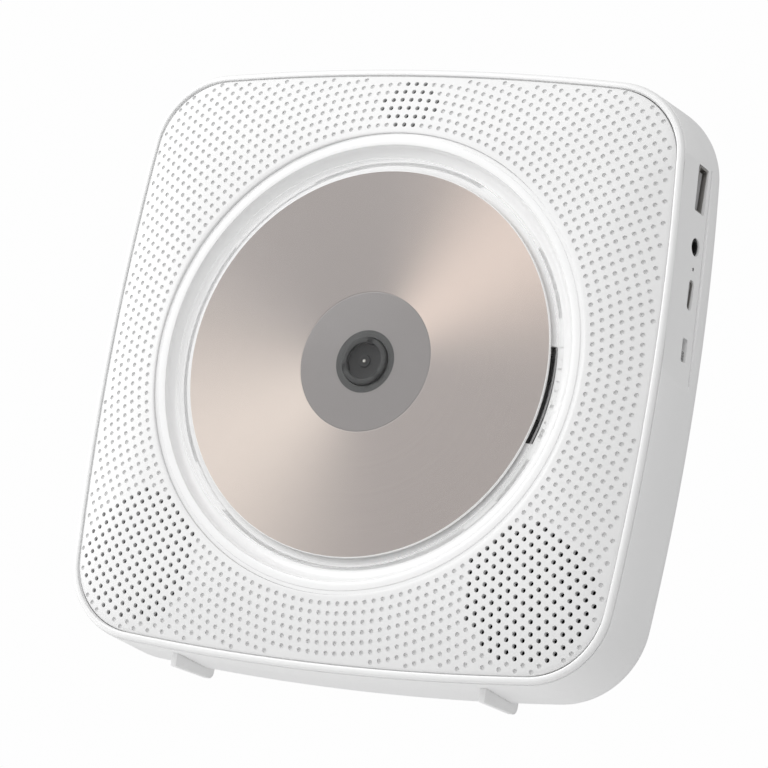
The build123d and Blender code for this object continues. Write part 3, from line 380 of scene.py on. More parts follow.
def moulded(name, light, dark, rough, grain, depth, ior=1.53, coat=0.0, subsurface=0.0):
    """Injection moulded plastic: the grain of the mould's face, and slow changes of tone and polish."""
    material, tree, shader, place = new_material(
        name, IOR=ior, Coat_Weight=coat, Coat_Roughness=0.12, Subsurface_Weight=subsurface,
        Subsurface_Scale=0.002)
    flow = add(tree, "ShaderNodeTexNoise", {"Scale": 1 / (45 * MM), "Detail": 2.0, "Roughness": 0.4},
               {"Vector": place})
    mix = add(tree, "ShaderNodeMix", {"A": tone(light), "B": tone(dark)},
              {"Factor": flow.outputs["Fac"]}, data_type="RGBA")
    tree.links.new(mix.outputs["Result"], shader.inputs["Base Color"])
    fine = add(tree, "ShaderNodeTexNoise", {"Scale": 1 / (grain * MM), "Detail": 2.0, "Roughness": 0.55},
               {"Vector": place})
    polish = add(tree, "ShaderNodeMapRange", {"To Min": rough - 0.05, "To Max": rough + 0.05},
                 {"Value": fine.outputs["Fac"]})
    tree.links.new(polish.outputs["Result"], shader.inputs["Roughness"])
    bump = add(tree, "ShaderNodeBump", {"Strength": 0.5, "Distance": depth * MM},
               {"Height": fine.outputs["Fac"]})
    tree.links.new(bump.outputs["Normal"], shader.inputs["Normal"])
    return material


def metal(name, colour, shade, rough, line, stretch):
    """Bare or plated metal with fine drawn lines running along its y direction."""
    material, tree, shader, place = new_material(name, Metallic=1.0)
    turn = add(tree, "ShaderNodeMapping", {"Scale": (1.0, stretch, 1.0)}, {"Vector": place})
    lines = add(tree, "ShaderNodeTexNoise", {"Scale": 1 / (line * MM), "Detail": 3.0},
                {"Vector": turn.outputs["Vector"]})
    mix = add(tree, "ShaderNodeMix", {"A": tone(colour), "B": tone(shade)},
              {"Factor": lines.outputs["Fac"]}, data_type="RGBA")
    tree.links.new(mix.outputs["Result"], shader.inputs["Base Color"])
    polish = add(tree, "ShaderNodeMapRange", {"To Min": rough - 0.08, "To Max": rough + 0.08},
                 {"Value": lines.outputs["Fac"]})
    tree.links.new(polish.outputs["Result"], shader.inputs["Roughness"])
    bump = add(tree, "ShaderNodeBump", {"Strength": 0.3, "Distance": 0.01 * MM},
               {"Height": lines.outputs["Fac"]})
    tree.links.new(bump.outputs["Normal"], shader.inputs["Normal"])
    return material


# White ABS moulded against a spark-eroded tool: an even satin with a grain too fine to see as dots.
panel_abs = moulded("satin_white_abs", "e9e9e9", "e6e6e6", 0.5, 0.35, 0.012)

# White ABS from a plain ground mould: a little smoother than the front, so it takes soft gradients.
shell_abs = moulded("ground_white_abs", "f3f3f3", "f0f0f0", 0.42, 0.5, 0.01)

# White ABS from a polished mould: the rim and the well show thin bright reflections.
polished_abs = moulded("polished_white_abs", "f1f1f1", "efefef", 0.22, 0.8, 0.004, coat=0.3)

# White ABS of the disc dish, polished, and painted brighter than the other whites: painted light that
# fills its hollow.
dish_abs_painted_light = moulded("white_abs_painted_light", "f8f8f8", "f6f6f6", 0.25, 0.8, 0.004, coat=0.2)

# Charcoal polypropylene: the middle of the hub, soft-looking with a fine grain.
charcoal = moulded("charcoal_polypropylene", "111112", "0e0e0f", 0.6, 0.3, 0.008, ior=1.45)

# The flange and the hub's rim: greyer than the middle.
outer_charcoal = moulded("worn_charcoal_polypropylene", "303131", "2c2d2d", 0.5, 0.3, 0.008, ior=1.45)

# Black glass-filled ABS: the jack, the mechanism and the hub's claws, nearly without gloss.
black_abs = moulded("black_filled_abs", "131314", "0e0e0f", 0.65, 0.25, 0.01, ior=1.45)

# Soft black rubber: dull, with a slightly uneven skin.
rubber = moulded("black_nitrile_rubber", "19191a", "121213", 0.8, 0.4, 0.02, ior=1.52)

# Doped black paper of the speaker cones: fibrous and dull.
cone_paper = moulded("black_cone_paper", "202020", "151516", 0.85, 0.6, 0.03, ior=1.45)

# Green solder mask over copper: a glossy varnish with faint darker patches.
solder_mask = moulded("green_solder_mask", "1f5c38", "184a2e", 0.3, 0.9, 0.008, coat=0.4)

# Blue-grey shrink film round the cells: glossy, a little wavy where it has drawn tight.
shrink_film = moulded("grey_shrink_film", "39414c", "2f3640", 0.25, 2.5, 0.05, coat=0.2)

# Bright nickel plating: screws, rods and the tip of the spindle.
nickel = metal("nickel_plated_steel", "c9c6c0", "b3b0aa", 0.28, 0.12, 0.2)

# Dull nickel of the socket shells, painted darker than the bright nickel: painted shade, since little
# light gets inside them.
dark_nickel = metal("dull_nickel_shell", "b5b3b0", "a3a19e", 0.45, 0.15, 0.3)

# Grey LCP inside the sockets: dull and hard.
grey_liner = moulded("grey_lcp_insulator", "a4a4a5", "9c9c9d", 0.5, 0.4, 0.006, ior=1.6)

# Grey acetal of the switch's knob: slightly waxy.
grey_acetal = moulded("grey_acetal", "9b9b9b", "919192", 0.4, 0.5, 0.008, ior=1.48)

# Gold flash on the socket contacts.
gold_flash = metal("gold_flashed_brass", "d9b45c", "c59f49", 0.3, 0.1, 0.3)

# Zinc plated sheet of the motor cans.
zinc_sheet = metal("zinc_plated_sheet", "a9abad", "94979a", 0.4, 0.2, 0.15)


def clear_finish(name, colour, rough, ior, smear):
    """Clear plastic: light passes through it, with faint smears of polish."""
    material, tree, shader, place = new_material(
        name, Base_Color=tone(colour), IOR=ior, Transmission_Weight=1.0)
    smears = add(tree, "ShaderNodeTexNoise", {"Scale": 1 / (smear * MM), "Detail": 2.0},
                 {"Vector": place})
    polish = add(tree, "ShaderNodeMapRange", {"To Min": rough, "To Max": rough + 0.03},
                 {"Value": smears.outputs["Fac"]})
    tree.links.new(polish.outputs["Result"], shader.inputs["Roughness"])
    return material


def cap_finish(name, least, most):
    """Clear polycarbonate from a polished mould: only its walls show, where they are seen side on."""
    material, tree, shader, _ = new_material(name, Base_Color=tone("ffffff"), Roughness=0.06, IOR=1.585)
    side_on = add(tree, "ShaderNodeLayerWeight", {"Blend": 0.35}).outputs["Facing"]
    steep = add(tree, "ShaderNodeMath", {1: 3.0}, {0: side_on}, operation="POWER")
    shown = add(tree, "ShaderNodeMapRange", {"To Min": least, "To Max": most},
                {"Value": steep.outputs["Value"]})
    tree.links.new(shown.outputs["Result"], shader.inputs["Alpha"])
    return material


clear_cap = cap_finish("clear_polycarbonate", 0.01, 0.38)

# The rounded edges of the same cap, more opaque and white: painted highlights for the light that gathers
# there in fine white lines.
clear_rim = cap_finish("clear_polycarbonate_edge", 0.3, 0.7)

# Clear styrene of the light pipe, frosted at its face.
light_pipe = clear_finish("frosted_styrene", "f1f3f0", 0.35, 1.59, 1.0)

# Coated optical glass: the pickup's lens, with a faint blue cast.
lens_glass = clear_finish("coated_optical_glass", "cfd6ee", 0.01, 1.51, 2.0)


def disc_finish():
    """Aluminium layer under clear lacquer, with painted highlights for the fans of light its track
    reflects, and one painted shade.

    The fans are directions from the spindle, so they turn with the disc."""
    material, tree, shader, place = new_material(
        "aluminium_disc_layer", Metallic=0.2, Roughness=0.5, Anisotropic=0.4, Coat_Weight=0.1,
        Coat_Roughness=0.05, Coat_IOR=1.55)
    along = add(tree, "ShaderNodeTangent", direction_type="RADIAL", axis="Y")
    tree.links.new(along.outputs["Tangent"], shader.inputs["Tangent"])
    apart = add(tree, "ShaderNodeSeparateXYZ", links={"Vector": place})
    span = add(tree, "ShaderNodeCombineXYZ", links={"X": apart.outputs["X"], "Y": apart.outputs["Z"]})
    away = add(tree, "ShaderNodeVectorMath", links={0: span.outputs["Vector"]}, operation="LENGTH")
    rings = add(tree, "ShaderNodeTexNoise", {"Scale": 1 / (1.2 * MM), "Detail": 3.0},
                {"W": away.outputs["Value"]}, noise_dimensions="1D")
    unit = add(tree, "ShaderNodeVectorMath", links={0: span.outputs["Vector"]}, operation="NORMALIZE")
    tint = add(tree, "ShaderNodeMix", {"A": tone(DISC_GREY), "B": tone(DISC_GREY_DEEP)},
               {"Factor": rings.outputs["Fac"]}, data_type="RGBA").outputs["Result"]
    # Each fan mixes its colour into the base colour: painted highlights, and one painted shade.
    for turn, reach, sharp, colour in DISC_PAINTED_FANS:
        line = (cos(radians(turn)), sin(radians(turn)), 0.0)
        close = add(tree, "ShaderNodeVectorMath", {1: line}, {0: unit.outputs["Vector"]},
                    operation="DOT_PRODUCT").outputs["Value"]
        wide = add(tree, "ShaderNodeMapRange", {"From Min": cos(radians(reach)), "From Max": 1.0},
                   {"Value": close})
        fan = add(tree, "ShaderNodeMath", {1: sharp}, {0: wide.outputs["Result"]}, operation="POWER")
        tint = add(tree, "ShaderNodeMix", {"B": tone(colour)},
                   {"Factor": fan.outputs["Value"], "A": tint}, data_type="RGBA").outputs["Result"]
    tree.links.new(tint, shader.inputs["Base Color"])
    return material


disc_layer = disc_finish()

# Grey lacquer under the clamping zone of the disc: smooth and neutral, without the painted fans.
clamp_zone = moulded("lacquered_clamping_zone", "868281", "827e7d", 0.35, 3.0, 0.003, coat=0.2)

# Clear polycarbonate at the edge of the disc, painted white: a painted glow for the light that gathers in
# it.
clear_edge = moulded("clear_disc_edge", "f2f2f1", "ececeb", 0.15, 4.0, 0.002, ior=1.585)

# The same round the bore, over the black turntable, where it shows smoky grey.
clear_bore = moulded("clear_bore_over_black", "303131", "2c2d2d", 0.35, 4.0, 0.002, ior=1.585)

NODE_FINISH = {
    "main_housing": shell_abs, "front_bezel": polished_abs, "front_panel": panel_abs,
    "disc_well": polished_abs, "dust_cover": clear_cap, "disc": disc_layer, "turntable": charcoal,
    "spindle_motor": zinc_sheet, "mechanism_base": black_abs, "guide_rods": nickel,
    "feed_motor": zinc_sheet, "feed_screw": nickel, "optical_pickup": black_abs,
    "pickup_lens": lens_glass, "chassis_dampers": rubber, "rear_cover": shell_abs,
    "rear_screws": nickel, "main_board": solder_mask, "usb_socket": nickel, "audio_jack": black_abs,
    "status_light_pipe": light_pipe, "charge_socket": nickel, "power_switch": black_abs,
    "switch_knob": shell_abs, "battery": shrink_film, "display_board": solder_mask,
    "button_board": solder_mask, "button_volume_down": polished_abs, "button_previous": polished_abs,
    "button_play": polished_abs, "button_next": polished_abs, "button_volume_up": polished_abs,
    "foot_left": shell_abs, "foot_right": shell_abs, "speakers": cone_paper,
}
for name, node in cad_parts.items():
    for index in range(len(node.data.materials)):
        node.data.materials[index] = NODE_FINISH[name]


# ---- front panel --------------------------------------------------------------------------------------

def border(angle):
    return bowed_square(PANEL_HALF, PANEL_CORNER, angle)


def dome(x, z):
    """Height of the panel's outer face: flat in the middle, falling to its border."""
    away, angle = hypot(x, z), atan2(z, x)
    near, far = 0.0, DOME_REACH
    for _ in range(DOME_HALVINGS):
        inset = (near + far) / 2
        if bowed_square(PANEL_HALF - inset, PANEL_CORNER + CORNER_EASE * inset ** 2, angle) > away:
            near = inset
        else:
            far = inset
    return PANEL_EDGE + DOME_RISE * (1 - ((DOME_REACH - near) / DOME_REACH) ** 2)


def between(share, trim):
    """A line between the panel's border and its opening, drawn in a little where it is an edge."""
    return lambda angle: border(angle) * (1 - share) + PANEL_OPENING * share + trim


def sunk(depth):
    return lambda x, z: dome(x, z) - depth


def hole_places():
    """Centres of the holes on rings about the spindle axis, and whether each one goes through."""
    for ring in range(FIRST_RING, LAST_RING + 1):
        for count in range(HOLES_PER_RING * ring):
            angle = radians(count / ring * (360 / HOLES_PER_RING) + HOLE_START)
            away = ring * HOLE_PITCH
            if away > border(angle) - EDGE_MARGIN:
                continue
            x, z = away * cos(angle), away * sin(angle)
            over_speaker = hypot(abs(x) - SPEAKER_X, z - SPEAKER_Z) < SPEAKER_FIELD
            step = ring - FIRST_RING
            reach = 1 + min(step, DISPLAY_RINGS - 1 - step)
            over_display = step < DISPLAY_RINGS and abs(count - ring) <= reach
            yield x, z, over_speaker or over_display


def drill(panel):
    """Cuts all the holes: one pin is modelled and its copies, side by side, are taken from the panel."""
    bpy.ops.object.select_all(action="DESELECT")
    bpy.ops.mesh.primitive_cylinder_add(vertices=HOLE_SIDES, radius=HOLE_RADIUS * MM, depth=1.0,
                                        rotation=(pi / 2, 0, 0))
    pin = bpy.context.object
    bpy.ops.object.transform_apply(rotation=True)
    shape = [point.co.copy() for point in pin.data.vertices]
    sides = [tuple(face.vertices) for face in pin.data.polygons]
    points, faces = [], []
    for x, z, through in hole_places():
        top = dome(x, z)
        foot = top - (DRILL_DEPTH if through else DIMPLE_DEPTH)
        start = len(points)
        for co in shape:
            height = top + DRILL_ABOVE if co.y < 0 else foot
            points.append((co.x + x * MM, -height * MM, co.z + z * MM))
        faces += [tuple(start + corner for corner in side) for side in sides]
    pin.data.clear_geometry()
    pin.data.from_pydata(points, [], faces)
    pin.data.update()
    apply_modifier(panel, "BOOLEAN", object=pin, operation="DIFFERENCE", solver="MANIFOLD")
    bpy.data.objects.remove(pin)


def make_panel():
    """The domed panel: eased border, outer face, eased opening and underside, then its holes."""
    border_ease = ((0.0, 0.45), (-0.09, 0.16), (-0.3, 0.02))
    opening_ease = ((0.3, 0.02), (0.09, 0.12), (0.0, 0.4))
    rings = [(between(0.0, trim), sunk(depth)) for trim, depth in border_ease]
    rings += [(between(share / PANEL_STEPS, 0.0), dome) for share in range(1, PANEL_STEPS)]
    rings += [(between(1.0, trim), sunk(depth)) for trim, depth in opening_ease]
    rings += [(between(1.0 - share / UNDERSIDE_STEPS, 0.0), sunk(PANEL_THICK))
              for share in range(UNDERSIDE_STEPS + 1)]
    panel = swept("perforated_front", rings)
    drill(panel)
    finish_piece(panel, "body", ["front_panel"], [panel_abs])


make_panel()


# ---- rim, disc well, cap, disc and turntable ----------------------------------------------------------

def make_rim():
    """The bead round the panel, undercut where it sits on the housing so that a fine gap shows."""
    profile = [(92.5, 28.6), (92.5, 29.05), (93.4, 29.05), (93.5, 29.2)]
    profile += arc(92.1, 29.2, 1.4, 6, 90, 8)
    profile += [(91.75, 30.58), (91.58, 30.5), (91.5, 30.3), (91.5, 29.6), (91.25, 29.6), (91.25, 28.6)]
    rings = [(bowed(half, BODY_CORNER - (FRONT_HALF - half)), level(height)) for half, height in profile]
    rim = swept("front_rim", rings)
    finish_piece(rim, "body", ["front_bezel"], [polished_abs])


def make_well():
    """The dish round the disc: flat band, concave wall and the floor with the pickup's window."""
    profile = [(16.0, 29.0), (71.42, 29.0), (71.42, 34.35), (70.25, 34.35)]
    profile += arc(69.95, 34.3, 0.3, 0, 90, 5)
    profile += arc(67.85, 34.45, 0.15, 90, 180, 3) + arc(63.7, 34.6, 4.0, -3, -90, 14)
    profile += [(16.0, WELL_FLOOR)]
    well = turned("disc_dish", profile)
    bpy.ops.object.select_all(action="DESELECT")
    bpy.ops.mesh.primitive_cylinder_add(vertices=256, radius=WINDOW_RADIUS * MM, depth=0.02,
                                        rotation=(pi / 2, 0, 0), location=(0, -0.03, 0))
    track = bpy.context.object
    bpy.ops.mesh.primitive_cube_add(size=1.0, location=(0.04, -0.03, 0))
    sides = bpy.context.object
    sides.scale = (0.08, 0.01, 0.0296)
    settle(sides)
    settle(track)
    apply_modifier(track, "BOOLEAN", object=sides, operation="INTERSECT", solver="MANIFOLD")
    track.data.transform(Matrix.Rotation(radians(WINDOW_TURN), 4, "Y"))
    apply_modifier(well, "BOOLEAN", object=track, operation="DIFFERENCE", solver="MANIFOLD")
    bpy.data.objects.remove(sides)
    bpy.data.objects.remove(track)
    finish_piece(well, "body", ["disc_well"], [dish_abs_painted_light, polished_abs])
    # The band above WELL_BAND takes the polished white; the cove and floor keep the brighter white,
    # painted light in the hollow.
    for face in well.data.polygons:
        if face.center.y < -WELL_BAND * MM:
            face.material_index = 1


def make_cap():
    """The clear cap: a flat top with a skirt that stands on the floor of the well."""
    profile = [(0.0, 34.4)] + arc(61.5, 33.8, 0.6, 90, 0, 5)
    profile += [(62.1, 30.75), (62.25, WELL_FLOOR), (63.35, WELL_FLOOR), (63.5, 30.75)]
    profile += arc(62.3, 34.4, 1.2, 0, 90, 9) + [(0.0, 35.6)]
    cap = turned("clear_cap", profile, FINE_TURN_STEPS)
    finish_piece(cap, "cap", ["dust_cover"], [clear_cap, clear_rim])
    # Faces of the outer rounding take the edge material, whose white is a painted highlight.
    for face in cap.data.polygons:
        away, height = hypot(face.center.x, face.center.z) / MM, -face.center.y / MM
        if away > CAP_RIM and height > CAP_RIM_LOW:
            face.material_index = 1


def make_disc():
    """One moulding in zones from the bore out: clear ring, clamping zone, coated zone and clear edge."""
    profile = [(7.5, 31.85), (7.65, 31.8), (59.85, 31.8), (60.0, 31.95), (60.0, 32.85)]
    profile += [(radius, DISC_TOP) for radius in (59.85, 59.75, 59.0, 40.0, 21.95, 21.85)]
    profile += [(CLAMP_ZONE, 32.93), (21.6, 32.93)]
    profile += [(radius, DISC_TOP) for radius in (21.45, 21.35, BORE_ZONE, 7.75, 7.65)] + [(7.5, 32.85)]
    disc = turned("compact_disc", profile, FINE_TURN_STEPS)
    finish_piece(disc, "disc", ["disc"], [disc_layer, clamp_zone, clear_edge, clear_bore])
    for face in disc.data.polygons:
        away = hypot(face.center.x, face.center.z) / MM
        if away < BORE_ZONE:
            face.material_index = 3
        # The clear edge, painted white as a painted glow.
        elif away > COATED_ZONE:
            face.material_index = 2
        elif away < CLAMP_ZONE:
            face.material_index = 1


def make_turntable():
    """Flange and hub under and through the disc, with its cup, boss and three spring claws."""
    profile = [(0.0, 22.6), (3.2, 22.6), (3.4, 22.8), (3.4, 30.3), (9.5, 30.3), (9.7, 30.5), (9.7, 31.6)]
    profile += [(9.55, 31.75), (7.4, 31.75), (7.4, 33.3)] + arc(6.9, 33.5, 0.5, 0, 90, 6)
    profile += arc(5.9, 33.8, 0.2, 90, 180, 3)
    profile += [(5.7, 33.3), (5.5, 33.2), (2.0, 33.2), (1.8, 33.5), (0.0, 33.5)]
    table = turned("turntable_hub", profile, 120)
    finish_piece(table, "rotor", ["turntable"], [charcoal, outer_charcoal])
    for face in table.data.polygons:
        if hypot(face.center.x, face.center.z) > HUB_RIM * MM:
            face.material_index = 1
    for third in range(3):
        bpy.ops.object.select_all(action="DESELECT")
        bpy.ops.mesh.primitive_cube_add(size=1.0, location=(0.0064, -0.0334, 0))
        claw = bpy.context.object
        claw.scale = (0.0022, 0.0012, 0.0028)
        claw.name = claw.data.name = f"hub_claw_{third + 1}"
        settle(claw)
        apply_modifier(claw, "BEVEL", width=0.0004, segments=3)
        claw.data.transform(Matrix.Rotation(radians(120 * third + 40), 4, "Y"))
        finish_piece(claw, "rotor", [], [black_abs])
    tip = turned("shaft_tip", [(0.0, 33.4), (0.5, 33.4), (0.5, 33.6), (0.38, 33.75), (0.0, 33.75)], 48)
    finish_piece(tip, "rotor", [], [nickel])


make_rim()
make_well()
make_cap()
make_disc()
make_turntable()


# ---- housing with its openings ------------------------------------------------------------------------

def body_half(height):
    return REAR_HALF + (FRONT_HALF - REAR_HALF) * height / WALL_TOP


def body(height, inset=0.0):
    half = body_half(height) - inset
    return bowed(half, BODY_CORNER + half - FRONT_HALF)


def facet_x(height, z):
    """X of the flat that carries the sockets: a chord of the bowed side."""
    low, high = [body_half(height) - SIDE_BOW + sqrt(SIDE_BOW ** 2 - end ** 2)
                 for end in (FACET_LOW, FACET_HIGH)]
    return low + (high - low) * (z - FACET_LOW) / (FACET_HIGH - FACET_LOW)


def side_tool(name, heights, ends, sink=0.0):
    """A block to cut from the bowed side: it lies on the flat for the sockets, or reaches below it."""
    (low, high), (foot, top) = heights, ends
    tool = prism(name, [(low, foot), (high, foot), (high, top), (low, top)], 0.0, SIDE_REACH, "side")
    for point in tool.data.vertices:
        if point.co.x < SIDE_REACH / 2 * MM:
            point.co.x = (facet_x(-point.co.y / MM, point.co.z / MM) - sink) * MM
    return tool


def make_housing():
    """The shell behind the front: flared walls, rounded rear edge and the flange for the rear cover."""
    cover_seat = rounded_square(FLANGE_HALF, FLANGE_CORNER)
    rear_opening = rounded_square(REAR_OPENING, REAR_OPENING_CORNER)
    rings = [(bowed(91.5, 23.8), level(27.6)), (bowed(91.5, 23.8), level(WALL_TOP)),
             (body(WALL_TOP, 0.2), level(WALL_TOP)), (body(28.54, 0.06), level(28.54)),
             (body(28.4), level(28.4)), (body(17.0), level(17.0))]
    for step in range(9):
        turn = radians(90 * step / 8)
        height = REAR_RISE * (1 - sin(turn))
        rings.append((body(height, REAR_ROUND * (1 - cos(turn))), level(height)))
    rings += [(cover_seat, level(0.0)), (cover_seat, level(COVER_THICK)),
              (rear_opening, level(COVER_THICK)), (rear_opening, level(FLANGE_TOP)),
              (body(FLANGE_TOP, HOUSING_SKIN), level(FLANGE_TOP)),
              (body(27.6, HOUSING_SKIN), level(27.6))]
    housing = swept("housing_shell", rings, HOUSING_STEPS)
    cut(housing, [side_tool("facet_tool", (10.0, 31.0), (FACET_LOW - 6, FACET_HIGH + 6))])
    cut(housing, [side_tool("groove_tool", (9.8, 10.4), (4.0, 70.0), 0.7)])
    outlines = [rounded(6.8, 14.2, 0.7, (PORT_HEIGHT, USB_Z)), disc_outline(2.75, (PORT_HEIGHT, JACK_Z)),
                disc_outline(0.6, (PORT_HEIGHT, LIGHT_Z), 16),
                rounded(3.3, 9.2, 1.6, (PORT_HEIGHT, CHARGE_Z)),
                rounded(3.3, 7.2, 0.7, (PORT_HEIGHT, SWITCH_Z))]
    openings = [prism("tool", outline, 80, 100, "side") for outline in outlines]
    openings += [prism("tool", rounded(9.7, 5.1, 1.2, (step * KEY_PITCH, KEY_HEIGHT)), 84, 100, "top")
                 for step in range(-2, 3)]
    openings += [prism("tool", rounded(2.2, 24.6, 0.3, (side * FOOT_X, 11.8)), -100, -89, "top")
                 for side in (-1, 1)]
    cut(housing, openings)
    finish_piece(housing, "body", ["main_housing"], [shell_abs])


def make_feet():
    """Thin stand fins let into the bottom of the body, their lower rear corners rounded off."""
    for name, x in (("foot_left", -FOOT_X), ("foot_right", FOOT_X)):
        outline = [(24.0, -89.0), (0.4, -89.0)] + arc(2.9, -93.9, 2.5, 180, 270, 8)
        outline += arc(23.4, -95.8, 0.6, 270, 360, 4)
        fin = prism(name + "_fin", outline, x - 1.0, x + 1.0, "side", 0.22)
        finish_piece(fin, "body", [name], [shell_abs])


# ---- buttons ------------------------------------------------------------------------------------------

def bar(x, width, tall):
    left, right = x - width / 2, x + width / 2
    low, high = KEY_HEIGHT - tall / 2, KEY_HEIGHT + tall / 2
    return [(left, low), (right, low), (right, high), (left, high)]


def wedge(x, width, tall):
    """A triangle that points to +x, or to -x when its width is negative."""
    back = x - width / 2
    return [(back, KEY_HEIGHT - tall / 2), (x + width / 2, KEY_HEIGHT), (back, KEY_HEIGHT + tall / 2)]


def make_buttons():
    """Five keys on top, each with the usual sign of its function sunk into it."""
    signs = {
        "button_volume_down": lambda x: [bar(x, 2.4, 0.45)],
        "button_previous": lambda x: [bar(x - 1.55, 0.4, 1.9), wedge(x - 0.55, -1.3, 1.9),
                                      wedge(x + 0.95, -1.3, 1.9)],
        "button_play": lambda x: [wedge(x - 0.9, 1.6, 2.0), bar(x + 0.75, 0.4, 2.0),
                                  bar(x + 1.6, 0.4, 2.0)],
        "button_next": lambda x: [wedge(x - 0.95, 1.3, 1.9), wedge(x + 0.55, 1.3, 1.9),
                                  bar(x + 1.55, 0.4, 1.9)],
        "button_volume_up": lambda x: [bar(x, 2.4, 0.45), bar(x, 0.45, 2.4)],
    }
    for step, (name, sign) in enumerate(signs.items()):
        x = (step - 2) * KEY_PITCH
        (low_x, low_y, low_z), (high_x, high_y, high_z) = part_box(name)
        low, top = low_z / MM, high_z / MM
        key = prism(name + "_key", rounded(9.0, 4.4, 1.0, (x, KEY_HEIGHT)), low + 0.5, top, "top", 0.35)
        edge = rounded(high_x / MM - low_x / MM, -(low_y - high_y) / MM, 0.8, (x, KEY_HEIGHT))
        lip = prism("lip", edge, low, low + 1.0, "top")
        cut(key, [lip], "UNION")
        for mark in sign(x):
            cut(key, [prism("mark", mark, top - SIGN_DEPTH, top + 1.0, "top")])
        finish_piece(key, name, [name], [polished_abs])


# ---- sockets on the right side ------------------------------------------------------------------------

def make_usb():
    """USB socket: folded steel shell, grey tongue near its rear side and four gold contacts."""
    front = facet_x(PORT_HEIGHT, USB_Z) - PORT_SINK
    shell = prism("usb_shell", rounded(6.0, 13.4, 0.5, (PORT_HEIGHT, USB_Z)), front - 14.0, front, "side")
    inside = rounded(5.3, 12.7, 0.3, (PORT_HEIGHT, USB_Z))
    cut(shell, [prism("tool", inside, front - 13.5, front + 1.0, "side")])
    finish_piece(shell, "body", ["usb_socket"], [dark_nickel])
    bar_outline = rounded(1.9, 11.2, 0.2, (PORT_HEIGHT - 0.85, USB_Z))
    tongue = prism("usb_tongue", bar_outline, front - 13.6, front - 1.0, "side", 0.15)
    finish_piece(tongue, "body", [], [grey_liner])
    for contact in range(4):
        strip = rounded(0.3, 1.1, 0.1, (PORT_HEIGHT + 0.1, USB_Z + (contact - 1.5) * 2.4))
        pad = prism(f"usb_contact_{contact + 1}", strip, front - 11.0, front - 2.4, "side")
        finish_piece(pad, "body", [], [gold_flash])


def make_jack():
    """Headphone jack: round nose, square block behind it, bore and a contact spring."""
    place = (PORT_HEIGHT, JACK_Z)
    front = facet_x(*place) - PORT_SINK
    nose = prism("jack_nose", disc_outline(2.6, place), front - 5.8, front, "side", 0.15)
    block = prism("jack_block", rounded(6.0, 8.0, 0.4, place), front - 14.4, front - 5.6, "side", 0.2)
    cut(nose, [block], "UNION")
    cut(nose, [prism("tool", disc_outline(1.8, place), front - 13.6, front + 1.0, "side")])
    finish_piece(nose, "body", ["audio_jack"], [black_abs])
    strip = rounded(0.3, 1.4, 0.1, (PORT_HEIGHT - 1.55, JACK_Z))
    spring = prism("jack_spring", strip, front - 9.0, front - 3.0, "side")
    finish_piece(spring, "body", [], [gold_flash])


def make_charge_port():
    """Charging socket: drawn steel shell with a tongue in its middle."""
    place = (PORT_HEIGHT, CHARGE_Z)
    front = facet_x(*place) - PORT_SINK
    shell = prism("charge_shell", rounded(2.6, 8.4, 1.29, place), front - 7.5, front, "side")
    cut(shell, [prism("tool", rounded(2.0, 7.8, 0.99, place), front - 7.2, front + 1.0, "side")])
    finish_piece(shell, "body", ["charge_socket"], [dark_nickel])
    tongue = prism("charge_tongue", rounded(1.3, 6.9, 0.3, place), front - 7.3, front - 0.4, "side", 0.1)
    finish_piece(tongue, "body", [], [grey_liner])


def make_switch():
    """The slide switch's ribbed knob, at the lower end of its slot."""
    (low_x, _, low_z), (high_x, _, high_z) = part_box("switch_knob")
    middle = (low_z + high_z) / 2 / MM
    outline = rounded(2.6, (high_z - low_z) / MM, 0.3, (PORT_HEIGHT, middle))
    knob = prism("switch_slide", outline, low_x / MM, high_x / MM, "side", 0.15)
    near, far = PORT_HEIGHT - 2, PORT_HEIGHT + 2
    for rib in (-0.8, 0.0, 0.8):
        foot, top = middle + rib - 0.15, middle + rib + 0.15
        slot = [(near, foot), (far, foot), (far, top), (near, top)]
        cut(knob, [prism("tool", slot, high_x / MM - 0.25, high_x / MM + 1.0, "side")])
    finish_piece(knob, "switch", ["switch_knob"], [grey_acetal])


# ---- rear ---------------------------------------------------------------------------------------------

def screw_places():
    return [(x * SCREW_PLACE, z * SCREW_PLACE) for x in (-1, 1) for z in (-1, 1)]


def make_rear_cover():
    """Flat cover let into the rear flange, with two keyholes to hang it by and four sunk screws."""
    cover = prism("rear_plate", rounded(173.0, 173.0, 19.0, steps=16), 0.0, COVER_THICK, "front", 0.3)
    through = COVER_THICK + 1.0
    tools = []
    for x in (-KEYHOLE_X, KEYHOLE_X):
        hole = prism("tool", disc_outline(KEYHOLE_ENTRY, (x, KEYHOLE_Z), 48), -1.0, through, "front")
        slot = rounded(KEYHOLE_SLOT, 12.4, 2.19, (x, KEYHOLE_Z + 4.0))
        cut(hole, [prism("tool", slot, -1.0, through, "front")], "UNION")
        tools.append(hole)
    for place in screw_places():
        sink = prism("tool", disc_outline(3.1, place), -1.0, 1.5, "front")
        cut(sink, [prism("tool", disc_outline(1.5, place), 1.0, through, "front")], "UNION")
        tools.append(sink)
    cut(cover, tools)
    finish_piece(cover, "body", ["rear_cover"], [shell_abs])


def make_rear_screws():
    """Pan heads with a cross recess, facing the wall."""
    profile = [(0.0, 0.3), (1.9, 0.34), (2.5, 0.55), (2.8, 0.95), (2.8, 1.5), (1.2, 1.5), (1.2, 8.5),
               (0.0, 8.5)]
    screws = []
    for x, z in screw_places():
        screw = turned("screw", profile, 32)
        for wide, tall in ((2.9, 0.6), (0.6, 2.9)):
            cut(screw, [prism("tool", rounded(wide, tall, 0.12), -0.5, 0.95, "front")])
        screw.data.transform(Matrix.Translation((x * MM, 0, z * MM)))
        screws.append(screw)
    screw = combine(screws)
    screw.name = screw.data.name = "cover_screws"
    finish_piece(screw, "body", ["rear_screws"], [nickel])


# ---- speakers -----------------------------------------------------------------------------------------

